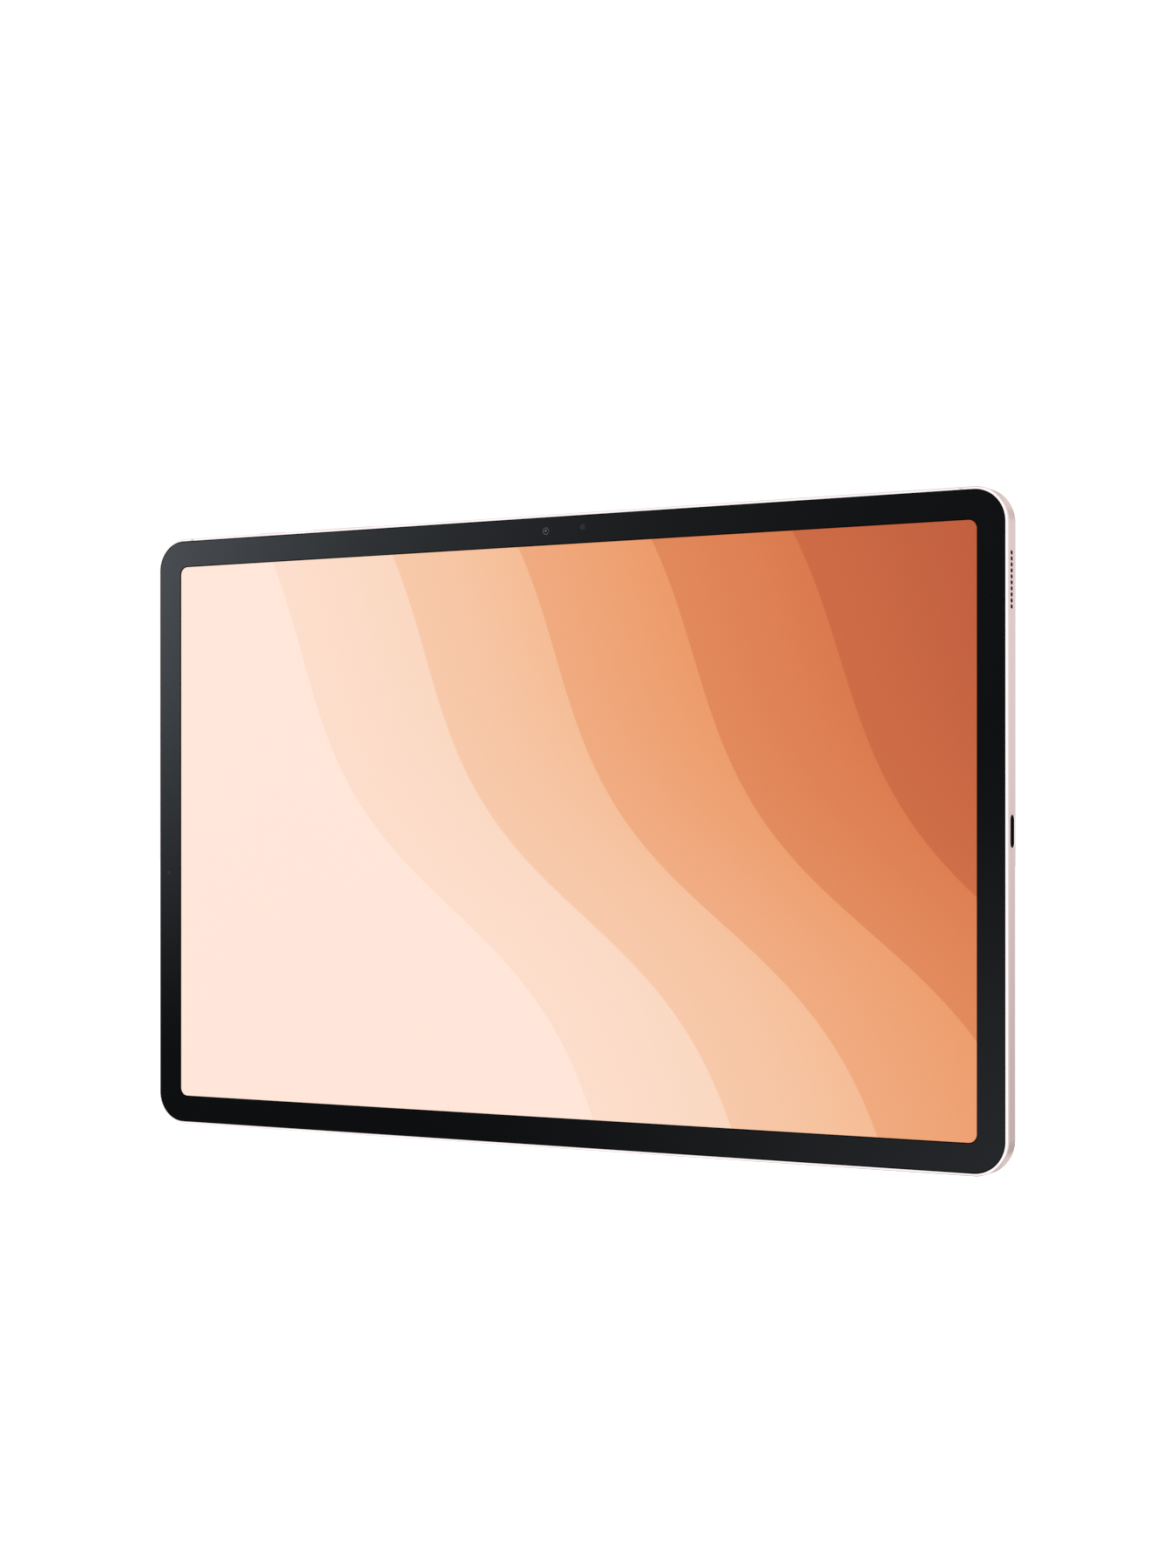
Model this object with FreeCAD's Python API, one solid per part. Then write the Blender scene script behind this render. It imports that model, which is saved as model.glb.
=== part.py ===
import FreeCAD, Part
import os

from FreeCAD import Rotation, Vector

# A slate tablet computer, held upright in landscape. Millimetres throughout.
# X runs to the right as the user faces the screen, Y runs into the body, Z runs up.
# Depths are drawn from the flat back face, which is Y = 0 here, so the screen faces -Y. Every
# finished piece is then moved back by the body's depth: the origin is the centre of the screen.

# ---- Body -------------------------------------------------------------------------------------
BODY_WIDTH = 284.8
BODY_HEIGHT = 185.0
BODY_DEPTH = 6.3
BODY_CORNER = 9.9
RIM = 0.9  # metal seen around the glass from the front
FRONT_CHAMFER = 0.55
BACK_ROUND = 1.0
SIDE_WALL = 2.6
BACK_WALL = 0.9
HALF_W = BODY_WIDTH / 2
HALF_H = BODY_HEIGHT / 2
FRONT = -BODY_DEPTH
FLOOR = -BACK_WALL  # inner face of the back wall
HOLLOW_HALF_W = HALF_W - SIDE_WALL
HOLLOW_HALF_H = HALF_H - SIDE_WALL
ANTENNA_BAND_X = 129.0
ANTENNA_BAND_WIDTH = 1.2
ANTENNA_BAND_REACH = 4.0  # how far the band runs down from the top edge

# ---- Glass and display ------------------------------------------------------------------------
FIT = 0.05  # gap around a piece set into another
GLASS_DEPTH = 0.7
GLASS_WIDTH = BODY_WIDTH - 2 * RIM
GLASS_HEIGHT = BODY_HEIGHT - 2 * RIM
GLASS_CORNER = BODY_CORNER - RIM
GLASS_BACK = FRONT + GLASS_DEPTH
PRINT_DEPTH = 0.03
PRINT_INSET = 0.1
VIEW_WIDTH = 266.9  # lit area of the screen
VIEW_HEIGHT = 166.95
VIEW_CORNER = 2.4
ADHESIVE_DEPTH = 0.12
ADHESIVE_OUTER_INSET = 0.3  # from the glass edge
ADHESIVE_WIDTH = 1.25
LEDGE = GLASS_BACK + PRINT_DEPTH + ADHESIVE_DEPTH  # the glass is glued to the housing here
PANEL_WIDTH = 269.5
PANEL_HEIGHT = 169.5
PANEL_INSET = 0.5  # optical bond, light guide and pen sheet are this much smaller all round
PANEL_CORNER = 2.5
BOND_DEPTH = 0.12
CELL_DEPTH = 0.5
LIGHT_GUIDE_DEPTH = 0.6
PANEL_TRAY_DEPTH = 0.15
PEN_SHEET_DEPTH = 0.1
DRIVER_STRIP = ((-60.0, 60.0), (-4.05, -3.88), (-84.5, -79.5))
DISPLAY_RIBBON = ((-30.0, -19.0), (-4.05, -3.95), (-79.5, 43.9))
DISPLAY_PLUG = ((-30.0, -19.0), (-3.95, -2.3), (42.3, 43.9))

# ---- Camera and sensors behind the glass ------------------------------------------------------
FRONT_CAMERA = (0.0, 87.7)
FRONT_CAMERA_WINDOW = 2.3
FRONT_CAMERA_BODY = (5.6, 4.0)
FRONT_CAMERA_FRONT = -5.2
FRONT_CAMERA_BARREL = 2.8
FRONT_LENS_DIAMETER = 1.5
FRONT_LENS_DEPTH = 0.25
FRONT_BARREL_DEPTH = 0.3
FRONT_CAMERA_RIBBON = ((-28.4, 2.5), (-2.45, -2.3), (85.8, 88.0))
LIGHT_SENSOR = (12.46, 88.2)
LIGHT_SENSOR_WINDOW = 1.85
SIDE_SENSOR = (-138.2, -13.1)
SIDE_SENSOR_WINDOW = 1.2
SENSOR_SIZE = (2.4, 2.2)
SENSOR_SPAN = (-5.5, -4.9)
SENSOR_CORNER = 0.3
TOP_SENSOR_RIBBON = ((3.0, 14.0), (-4.9, -4.75), (87.2, 89.2))
SIDE_SENSOR_RIBBON = ((-139.3, -137.0), (-4.9, -4.75), (-18.5, -8.5))

# ---- Rear camera ------------------------------------------------------------------------------
ISLAND = (-125.0, 80.2)
ISLAND_LENGTH = 22.0
ISLAND_WIDTH = 13.0
ISLAND_RISE = 1.4
ISLAND_EDGE = 0.4
ISLAND_SPIGOT_INSET = 1.2
ISLAND_GLASS_LENGTH = 17.5
ISLAND_GLASS_WIDTH = 8.5
ISLAND_GLASS_SPAN = (0.6, 1.2)
ISLAND_OPENING_INSET = 0.9
LENS_OFFSET = 4.5  # from the island's centre, towards the body's corner
LENS = (ISLAND[0] - LENS_OFFSET, ISLAND[1])
WINDOW_DIAMETER = 6.5
LENS_RING_OUTER = 7.9
LENS_RING_SPAN = (1.2, 1.4)
CAMERA_SIZE = 8.6
CAMERA_CORNER = 0.5
CAMERA_SPAN = (-3.9, -1.0)
BARREL_DIAMETER = 6.0
BARREL_CLEARANCE = 0.04
BARREL_SPAN = (-3.2, 0.15)
BARREL_BORE_START = -3.4
BARREL_DISH = (2.2, 4.4, 0.6)  # narrow end, wide end and height of the cone cut into its front
BARREL_DISH_DEPTH = 0.5
CAMERA_RIBBON = (
    ((-125.2, -96.0), (-2.45, -2.3), (76.2, 79.2)),
    ((-100.0, -96.0), (-2.45, -2.3), (72.0, 76.2)),
)

# ---- Keys in the top edge ---------------------------------------------------------------------
KEY_Y = -3.3
KEY_WIDTH = 2.2
KEY_PROUD = 0.35
KEY_EDGE = 0.25
POWER_X = -99.7
POWER_LENGTH = 9.7
VOLUME_X = -73.5
VOLUME_LENGTH = 22.1
VOLUME_GAP = 0.1  # the rocker tilts, so its slot is looser
FLANGE_DEPTH = 0.6
FLANGE_SIDE = 0.5  # flange past the key on each side
FLANGE_END = 0.9
POWER_FLANGE_TOP = 89.8
VOLUME_FLANGE_TOP = 89.5
SWITCH_SIZE = (3.2, 2.0)
SWITCH_SPAN = (87.15, 88.2)
PLUNGER_DIAMETER = 1.2
POWER_PLUNGER_TOP = 88.88
VOLUME_PLUNGER_TOP = 88.7
VOLUME_SWITCH_OFFSET = 7.0
BRACKET_BASE = ((-113.0, -55.0), (-4.6, -2.3), (86.6, 87.0))
BRACKET_LEG = ((-113.0, -55.0), (-2.3, -2.0), (83.0, 87.0))
BRACKET_NOTCH = ((-87.0, -79.0), (-2.7, -1.9), (82.0, 87.1))
KEY_RIBBON = (
    ((-108.0, -60.0), (-4.4, -2.45), (87.0, 87.15)),
    ((-86.0, -80.0), (-2.6, -2.45), (73.0, 87.15)),
)

# ---- Card tray in the top edge ----------------------------------------------------------------
TRAY_X = -38.0
TRAY_Y = -3.3
TRAY_HEAD_LENGTH = 17.6
TRAY_HEAD_WIDTH = 2.4
TRAY_HEAD_LOW = 90.3
TRAY_PLATE_WIDTH = 13.2
TRAY_PLATE_DEPTH = 0.85
TRAY_PLATE_LOW = 58.0
TRAY_POCKET_FLOOR = 0.15
MEMORY_CARD_POCKET = (11.1, 15.1, 67.05)  # width, length, centre height
SIM_CARD_POCKET = (8.9, 12.4, 82.2)
CARD_POCKET_CORNER = 0.8
SEAL_SPAN = (90.8, 91.4)
SEAL_GROOVE = 0.3
SEAL_PROUD = 0.02
EJECT_HOLE_DIAMETER = 0.9
SOCKET_X = (-47.5, -28.5)
SOCKET_Y = (-3.93, -2.3)
SOCKET_Z = (50.5, 88.5)
SOCKET_CHANNEL_Y = (-3.78, -2.83)
SOCKET_CHANNEL_LOW = 57.5
SOCKET_SIDE_GAP = 0.1
EJECT_ROD_X = TRAY_X + (TRAY_HEAD_LENGTH - TRAY_HEAD_WIDTH) / 2
EJECT_ROD_SIZE = 0.8
EJECT_ROD_SPAN = (55.48, 90.2)
EJECT_ROD_GAP = 0.08
LEVER_PIVOT = (-34.2, 54.8)
LEVER_HALF_LENGTH = 4.4
LEVER_HALF_WIDTH = 0.6
LEVER_SPAN = (-3.65, -2.95)
LEVER_BORE = 0.9
LEVER_CORNER = 0.3
LEVER_PIN = 0.8
LEVER_PIN_HOLE = 0.82
LEVER_PIN_SPAN = (-3.9, -2.5)
LEVER_BAY = ((-39.4, -29.4), SOCKET_CHANNEL_Y, (51.2, 58.2))

# ---- USB-C socket in the right edge -----------------------------------------------------------
USB_Y = -2.9
USB_OPENING = (3.16, 8.94)  # across the depth, along the edge
USB_SHELL = (3.06, 8.84)
USB_SHELL_WALL = 0.25
USB_SHELL_SPAN = (135.0, 142.2)
USB_BACK_WALL = 1.0
USB_TONGUE = ((136.0, 141.2), (USB_Y - 0.35, USB_Y + 0.35), (-3.35, 3.35))
USB_BOARD_X = (118.0, 138.5)
USB_BOARD_HALF_H = 13.0
USB_BOARD_NOTCH = ((134.9, 139.0), (-4.0, 0.0), (-4.6, 4.6))
SIDE_RIBBON = (
    ((-46.0, 108.0), (-1.6, -1.45), (34.5, 39.5)),
    ((-46.0, -38.0), (-1.6, -1.45), (39.5, 45.0)),
    ((103.0, 108.0), (-1.6, -1.45), (-8.0, 34.5)),
    ((108.0, 124.0), (-1.6, -1.45), (-8.0, -3.0)),
)

# ---- Speakers at both ends --------------------------------------------------------------------
GRILLE_HOLE = (1.6, 1.15)
GRILLE_PITCH = 1.6
GRILLE_COUNT = 10
GRILLE_LOW = 60.0
GRILLE_Y = -3.7
SPEAKER_X = (115.0, 139.4)
SPEAKER_Y = (-4.0, -1.0)
SPEAKER_Z = (36.0, 75.6)
SPEAKER_CORNER = 2.0
EAR_REACH = 5.0
EAR_HALF_HEIGHT = 2.5
EAR_HEIGHTS = (42.0, 68.0)
DRIVER = (126.5, 57.0)
DRIVER_SIZE = (15.0, 24.0)
DRIVER_RECESS_BACK = -2.0
CONE_SIZE = (12.5, 21.5)
CONE_SPAN = (-3.2, -2.9)
SURROUND_SPAN = (-3.15, -2.95)
DRIVER_MAGNET_SIZE = (9.5, 18.5)
DRIVER_MAGNET_CORNER = 1.5
DRIVER_MAGNET_SPAN = (-2.5, -2.0)
PORT_CHANNEL = ((130.0, 139.4), (-4.0, -2.9), (59.2, 75.0))
GRILLE_MESH = ((139.5, 139.7), (-4.6, -2.6), (58.4, 75.2))

# ---- Boards, battery and the rest of the inside -----------------------------------------------
BOARD_FRONT = -2.3
BOARD_DEPTH = 0.7
BOARD_BACK = BOARD_FRONT + BOARD_DEPTH
BOARD_X = (-106.0, -14.0)
BOARD_Z = (42.0, 76.0)
BOARD_TAB = ((-54.0, -26.0), (BOARD_FRONT, BOARD_BACK), (76.0, 87.5))
BOARD_SCREWS = ((-103.0, 45.0), (-103.0, 73.0), (-17.0, 45.0), (-17.0, 73.0))
BRACKET_SCREWS = ((-110.8, 85.0), (-57.2, 85.0))
USB_SCREWS = ((121.0, 10.0), (121.0, -10.5))
SPEAKER_EAR_X = 112.4
BOSS_DIAMETER = 4.0
BOSS_HOLE = 1.46
BOSS_HOLE_END = -0.55
SCREW_SHANK = 1.4
SCREW_LENGTH = 1.6
SCREW_HEAD = 2.6
SCREW_HEAD_DEPTH = 0.5
SCREW_SOCKET = (1.1, 0.25)  # diameter and depth of the driver recess
BOARD_HOLE = 1.6
SHIELDS = ((-88.0, 59.0, 26.0, 24.0), (-62.0, 60.5, 18.0, 21.0), (-21.5, 58.0, 11.0, 20.0))
SHIELD_FRONT = -3.75
SHIELD_SHEET = 0.15
SHIELD_CORNER = 0.6
CHIPS = (
    ((-97.0, -83.0), (-3.4, BOARD_FRONT), (53.0, 67.0)),
    ((-69.0, -57.5), (-3.3, BOARD_FRONT), (54.0, 67.0)),
    ((-24.5, -18.5), (-3.2, BOARD_FRONT), (51.0, 60.0)),
)
THERMAL_SHEET = ((-104.0, -15.5), (-4.02, -3.94), (46.5, 75.0))
CELL_LEFT_EDGES = (-103.0, -1.0)
CELL_WIDTH = 98.0
CELL_SPAN = (-3.75, -1.05)
CELL_Z = (-84.0, 33.0)
CELL_CORNER = 2.0
BATTERY_GLUE_INSET = 6.0
BATTERY_BOARD = (
    ((-64.0, 50.0), (-3.4, -2.6), (33.3, 38.4)),
    ((-64.0, -56.0), (-3.15, -3.0), (38.4, 46.5)),
    ((-66.0, -54.0), (-3.0, BOARD_FRONT), (43.0, 46.5)),
)
DOCK_OPENING = (13.1, 2.7)
DOCK_BLOCK = (13.0, 2.6)
DOCK_BLOCK_SPAN = (-92.2, -89.0)
DOCK_CONTACT_X = (-4.5, -1.5, 1.5, 4.5)
DOCK_CONTACT_DIAMETER = 1.4
DOCK_CONTACT_SPAN = (-92.3, -90.6)
DOCK_CONTACT_GAP = 0.01
DOCK_RIBBON = (
    ((-8.0, 8.0), (-1.4, -1.25), (-88.9, -85.0)),
    ((-4.5, -1.5), (-1.4, -1.25), (-85.0, 47.0)),
)
MICROPHONE_X = (-20.0, 70.0)
MICROPHONE_HOLE = 1.0
MICROPHONE_SIZE = (3.6, 2.4)
MICROPHONE_SPAN = (88.3, 89.6)
MICROPHONE_MESH_DIAMETER = 2.0
MICROPHONE_MESH_SPAN = (89.62, 89.88)
PEN_STRIP_X = (-110.0, 40.0)
PEN_STRIP_WIDTH = 9.4
PEN_STRIP_DEPTH = 0.25
PEN_STRIP_Z = ISLAND[1]
MAGNET_CORNER = 0.4
PEN_MAGNET_X = (-92.0, -76.0, -12.0, 4.0, 20.0)
PEN_MAGNET_SIZE = (12.0, 4.0)
PEN_MAGNET_SPAN = (-1.85, -0.95)
COVER_MAGNETS = (
    (136.6, -74.0, 3.0, 18.0),
    (136.6, -46.0, 3.0, 18.0),
    (-136.6, -74.0, 3.0, 18.0),
    (-136.6, -46.0, 3.0, 18.0),
    (-70.0, -87.2, 22.0, 3.0),
    (-40.0, -87.2, 22.0, 3.0),
    (40.0, -87.2, 22.0, 3.0),
    (70.0, -87.2, 22.0, 3.0),
)
COVER_MAGNET_SPAN = (-2.9, -0.95)
ANTENNAS = (
    ((-134.0, -116.0), (-5.0, -3.2), (86.6, 89.6)),
    ((112.0, 134.0), (-5.0, -3.2), (86.6, 89.6)),
)
CABLE_RADIUS = 0.4
CABLE_Y = -2.92
LEFT_CABLE = ((-106.0, 66.0), (-108.0, 66.0), (-108.0, 80.6), (-117.0, 86.2))
RIGHT_CABLE = ((-14.0, 70.0), (-10.0, 77.0), (60.0, 77.0), (106.0, 80.0), (114.0, 86.2))

TINY = 1e-6
OVERRUN = 0.5  # how far a cutting tool passes the surface it cuts
FACING = {
    "Y": Rotation(Vector(1, 0, 0), 90),  # drawn along X and Z
    "X": Rotation(Vector(1, 1, 1), 120),  # drawn along Y and Z
    "Z": Rotation(),  # drawn along X and Y
}


# ---- Shapes used throughout -------------------------------------------------------------------
def outline(wide, tall, radius):
    """A rectangle with round corners, centred on the origin of the XY plane."""
    right, top = wide / 2, tall / 2
    x, y = right - radius, top - radius
    bulge = radius * 0.5**0.5
    corners = (
        ((x, -top), (x + bulge, -y - bulge), (right, -y)),
        ((right, y), (x + bulge, y + bulge), (x, top)),
        ((-x, top), (-x - bulge, y + bulge), (-right, y)),
        ((-right, -y), (-x - bulge, -y - bulge), (-x, -top)),
    )
    edges = []
    for index, (start, middle, end) in enumerate(corners):
        points = [Vector(*point, 0) for point in (start, middle, end)]
        edges.append(Part.Arc(*points).toShape())
        following = Vector(*corners[(index + 1) % len(corners)][0], 0)
        if points[2].distanceToPoint(following) > TINY:
            edges.append(Part.makeLine(points[2], following))
    return Part.Wire(Part.__sortEdges__(edges))


def slab(facing, size, radius, span, centre):
    """A round-cornered slab that lies across one axis, from span[0] to span[1] along it."""
    low, high = span
    body = Part.Face(outline(size[0], size[1], radius)).extrude(Vector(0, 0, high - low))
    across, along = centre
    places = {
        "Y": Vector(across, high, along),
        "X": Vector(low, across, along),
        "Z": Vector(across, along, low),
    }
    body.Placement = FreeCAD.Placement(places[facing], FACING[facing])
    return body


def pill(facing, size, span, centre):
    """A slab whose ends are full half rounds."""
    return slab(facing, size, min(size) / 2, span, centre)


def disc(facing, diameter, span, centre):
    """A cylinder along one axis."""
    low, high = span
    across, along = centre
    bases = {
        "Y": (Vector(across, low, along), Vector(0, 1, 0)),
        "X": (Vector(low, across, along), Vector(1, 0, 0)),
        "Z": (Vector(across, along, low), Vector(0, 0, 1)),
    }
    return Part.makeCylinder(diameter / 2, high - low, *bases[facing])


def block(x, y, z):
    """A box from its three spans."""
    return Part.makeBox(x[1] - x[0], y[1] - y[0], z[1] - z[0], Vector(x[0], y[0], z[0]))


def blocks(spans):
    """Separate boxes that count as one piece."""
    return Part.makeCompound([block(*span) for span in spans])


def joined(shapes):
    """One solid from touching shapes."""
    first, *others = shapes
    return first.multiFuse(others).removeSplitter() if others else first


def ribbon(strips):
    """A flexible printed circuit made of flat strips."""
    return joined([block(*strip) for strip in strips])


def mirrored(shape):
    """The same shape at the other end of the body."""
    return shape.mirror(Vector(0, 0, 0), Vector(1, 0, 0))


def edges_at_depth(shape, depth):
    """The edges that lie flat at one Y."""
    found = []
    for edge in shape.Edges:
        box = edge.BoundBox
        if abs(box.YMin - depth) < TINY and abs(box.YMax - depth) < TINY:
            found.append(edge)
    return found


def edges_at_height(shape, height):
    """The edges that lie flat at one Z."""
    found = []
    for edge in shape.Edges:
        box = edge.BoundBox
        if abs(box.ZMin - height) < TINY and abs(box.ZMax - height) < TINY:
            found.append(edge)
    return found


def board_holes(places):
    """Screw holes through a board or a sheet."""
    span = (BOARD_FRONT - OVERRUN, BOARD_BACK + OVERRUN)
    return [disc("Y", BOARD_HOLE, span, place) for place in places]


def within(span, inset):
    """A span made shorter by inset at both ends."""
    return (span[0] + inset, span[1] - inset)


# ---- Housing ----------------------------------------------------------------------------------
def housing_blank():
    """The outside of the aluminium shell, with its bright front chamfer and soft back edge."""
    body = slab("Y", (BODY_WIDTH, BODY_HEIGHT), BODY_CORNER, (FRONT, 0.0), (0.0, 0.0))
    body = body.makeChamfer(FRONT_CHAMFER, edges_at_depth(body, FRONT))
    return body.makeFillet(BACK_ROUND, edges_at_depth(body, 0.0))


def housing_hollow():
    """The glass pocket and the hollow behind it."""
    pocket = slab(
        "Y",
        (GLASS_WIDTH + 2 * FIT, GLASS_HEIGHT + 2 * FIT),
        GLASS_CORNER + FIT,
        (FRONT - OVERRUN, LEDGE),
        (0.0, 0.0),
    )
    hollow = slab(
        "Y",
        (2 * HOLLOW_HALF_W, 2 * HOLLOW_HALF_H),
        BODY_CORNER - SIDE_WALL,
        (LEDGE - OVERRUN, FLOOR),
        (0.0, 0.0),
    )
    return [pocket, hollow]


def grille_holes():
    """The row of sound holes in the right edge, and its twin in the left."""
    through = (HOLLOW_HALF_W - OVERRUN, HALF_W + OVERRUN)
    holes = []
    for index in range(GRILLE_COUNT):
        centre = (GRILLE_Y, GRILLE_LOW + index * GRILLE_PITCH)
        hole = pill("X", GRILLE_HOLE, through, centre)
        holes += [hole, mirrored(hole)]
    return holes


def edge_openings():
    """Everything cut through the four side walls."""
    top = (HOLLOW_HALF_H - OVERRUN, HALF_H + OVERRUN)
    bottom = (-HALF_H - OVERRUN, -HOLLOW_HALF_H + OVERRUN)
    right = (HOLLOW_HALF_W - OVERRUN, HALF_W + OVERRUN)
    power = (POWER_LENGTH + 2 * FIT, KEY_WIDTH + 2 * FIT)
    volume = (VOLUME_LENGTH + 2 * VOLUME_GAP, KEY_WIDTH + 2 * VOLUME_GAP)
    tray = (TRAY_HEAD_LENGTH + 2 * FIT, TRAY_HEAD_WIDTH + 2 * FIT)
    openings = [
        pill("Z", power, top, (POWER_X, KEY_Y)),
        pill("Z", volume, top, (VOLUME_X, KEY_Y)),
        pill("Z", tray, top, (TRAY_X, TRAY_Y)),
        pill("Z", DOCK_OPENING, bottom, (0.0, KEY_Y)),
        pill("X", USB_OPENING, right, (USB_Y, 0.0)),
    ]
    for x in MICROPHONE_X:
        openings.append(disc("Z", MICROPHONE_HOLE, top, (x, KEY_Y)))
    return openings + grille_holes()


def back_openings():
    """The camera opening and the shallow bed of the pen strip."""
    size = (
        ISLAND_LENGTH - 2 * ISLAND_SPIGOT_INSET + 2 * FIT,
        ISLAND_WIDTH - 2 * ISLAND_SPIGOT_INSET + 2 * FIT,
    )
    camera = pill("Y", size, (FLOOR - OVERRUN, OVERRUN), ISLAND)
    return [camera, pen_strip_shape(FIT, OVERRUN)]


def screw_places():
    """Every screw as x, z and the Y of the boss it bites into."""
    ears = [(side * SPEAKER_EAR_X, z) for side in (1, -1) for z in EAR_HEIGHTS]
    on_boards = [(x, z, BOARD_BACK) for x, z in (*BOARD_SCREWS, *USB_SCREWS, *ears)]
    on_bracket = [(x, z, BRACKET_LEG[1][1]) for x, z in BRACKET_SCREWS]
    return on_boards + on_bracket


def rear_housing():
    """The machined shell, less its antenna bands."""
    body = housing_blank().cut([*housing_hollow(), *edge_openings(), *back_openings()])
    bosses = [disc("Y", BOSS_DIAMETER, (top, FLOOR), (x, z)) for x, z, top in screw_places()]
    holes = []
    for x, z, top in screw_places():
        holes.append(disc("Y", BOSS_HOLE, (top - OVERRUN, BOSS_HOLE_END), (x, z)))
    return body.multiFuse(bosses).cut(holes).removeSplitter()


def antenna_band_cutters():
    """Thin slices through the top wall near each corner."""
    cutters = []
    for side in (1, -1):
        x = side * ANTENNA_BAND_X
        half = ANTENNA_BAND_WIDTH / 2
        height = (HALF_H - ANTENNA_BAND_REACH, HALF_H + OVERRUN)
        cutters.append(block((x - half, x + half), (FRONT - OVERRUN, OVERRUN), height))
    return cutters


# ---- Glass and display ------------------------------------------------------------------------
def centred_slab(width, height, corner, front, depth):
    """A flat layer of the screen."""
    return slab("Y", (width, height), corner, (front, front + depth), (0.0, 0.0))


def cover_glass():
    """The sheet over the whole front."""
    return centred_slab(GLASS_WIDTH, GLASS_HEIGHT, GLASS_CORNER, FRONT, GLASS_DEPTH)


def border_print():
    """The black border printed on the back of the glass, with windows for camera and sensors."""
    span = (GLASS_BACK - OVERRUN, GLASS_BACK + OVERRUN)
    border = centred_slab(
        GLASS_WIDTH - 2 * PRINT_INSET,
        GLASS_HEIGHT - 2 * PRINT_INSET,
        GLASS_CORNER - PRINT_INSET,
        GLASS_BACK,
        PRINT_DEPTH,
    )
    return border.cut(
        [
            slab("Y", (VIEW_WIDTH, VIEW_HEIGHT), VIEW_CORNER, span, (0.0, 0.0)),
            disc("Y", FRONT_CAMERA_WINDOW, span, FRONT_CAMERA),
            disc("Y", LIGHT_SENSOR_WINDOW, span, LIGHT_SENSOR),
            disc("Y", SIDE_SENSOR_WINDOW, span, SIDE_SENSOR),
        ]
    )


def glass_adhesive():
    """The ring of tape between the printed border and the housing's ledge."""
    front = GLASS_BACK + PRINT_DEPTH
    rings = []
    inner = ADHESIVE_OUTER_INSET + ADHESIVE_WIDTH
    for inset, grow in ((ADHESIVE_OUTER_INSET, 0.0), (inner, OVERRUN)):
        rings.append(
            centred_slab(
                GLASS_WIDTH - 2 * inset,
                GLASS_HEIGHT - 2 * inset,
                GLASS_CORNER - inset,
                front - grow,
                ADHESIVE_DEPTH + 2 * grow,
            )
        )
    return rings[0].cut(rings[1])


def display_layers():
    """The laminated stack behind the glass, from the front backwards."""
    layers = (
        ("optical_bond", BOND_DEPTH, PANEL_INSET),
        ("display_cell", CELL_DEPTH, 0.0),
        ("backlight", LIGHT_GUIDE_DEPTH, PANEL_INSET),
        ("display_tray", PANEL_TRAY_DEPTH, 0.0),
        ("pen_sensor_sheet", PEN_SHEET_DEPTH, PANEL_INSET),
    )
    front = GLASS_BACK + PRINT_DEPTH
    made = {}
    for name, depth, inset in layers:
        width = PANEL_WIDTH - 2 * inset
        height = PANEL_HEIGHT - 2 * inset
        made[name] = centred_slab(width, height, PANEL_CORNER, front, depth)
        front += depth
    return made


# ---- Cameras and sensors ----------------------------------------------------------------------
def front_camera():
    """The selfie camera's body and barrel."""
    back = FRONT_CAMERA_RIBBON[1][0]
    x, z = FRONT_CAMERA
    half_w, half_h = FRONT_CAMERA_BODY[0] / 2, FRONT_CAMERA_BODY[1] / 2
    body = block((x - half_w, x + half_w), (FRONT_CAMERA_FRONT, back), (z - half_h, z + half_h))
    barrel_span = (FRONT_CAMERA_FRONT - FRONT_BARREL_DEPTH, FRONT_CAMERA_FRONT)
    barrel = disc("Y", FRONT_CAMERA_BARREL, barrel_span, FRONT_CAMERA)
    seat = (barrel_span[0] - OVERRUN, barrel_span[0] + FRONT_LENS_DEPTH)
    return body.fuse(barrel).cut(disc("Y", FRONT_LENS_DIAMETER, seat, FRONT_CAMERA))


def front_camera_lens():
    """The front element, set in the barrel's mouth."""
    front = FRONT_CAMERA_FRONT - FRONT_BARREL_DEPTH
    return disc("Y", FRONT_LENS_DIAMETER, (front, front + FRONT_LENS_DEPTH), FRONT_CAMERA)


def sensor(centre):
    """One light sensor chip behind its window."""
    return slab("Y", SENSOR_SIZE, SENSOR_CORNER, SENSOR_SPAN, centre)


def camera_island():
    """The raised metal surround of the rear camera, with a spigot through the back wall."""
    raised = pill("Y", (ISLAND_LENGTH, ISLAND_WIDTH), (0.0, ISLAND_RISE), ISLAND)
    raised = raised.makeFillet(ISLAND_EDGE, edges_at_depth(raised, ISLAND_RISE))
    spigot_size = (ISLAND_LENGTH - 2 * ISLAND_SPIGOT_INSET, ISLAND_WIDTH - 2 * ISLAND_SPIGOT_INSET)
    spigot = pill("Y", spigot_size, (FLOOR, 0.0), ISLAND)
    bed_size = (ISLAND_GLASS_LENGTH + 2 * FIT, ISLAND_GLASS_WIDTH + 2 * FIT)
    bed = pill("Y", bed_size, (ISLAND_GLASS_SPAN[0], ISLAND_RISE + OVERRUN), ISLAND)
    opening_size = (
        ISLAND_GLASS_LENGTH - 2 * ISLAND_OPENING_INSET,
        ISLAND_GLASS_WIDTH - 2 * ISLAND_OPENING_INSET,
    )
    opening = pill("Y", opening_size, (FLOOR - OVERRUN, ISLAND_RISE), ISLAND)
    return raised.fuse(spigot).cut([bed, opening]).removeSplitter()


def island_glass():
    """The black glass inlay, open over the lens."""
    plate = pill("Y", (ISLAND_GLASS_LENGTH, ISLAND_GLASS_WIDTH), ISLAND_GLASS_SPAN, ISLAND)
    hole = disc("Y", WINDOW_DIAMETER + 2 * FIT, within(ISLAND_GLASS_SPAN, -OVERRUN), LENS)
    return plate.cut(hole)


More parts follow.
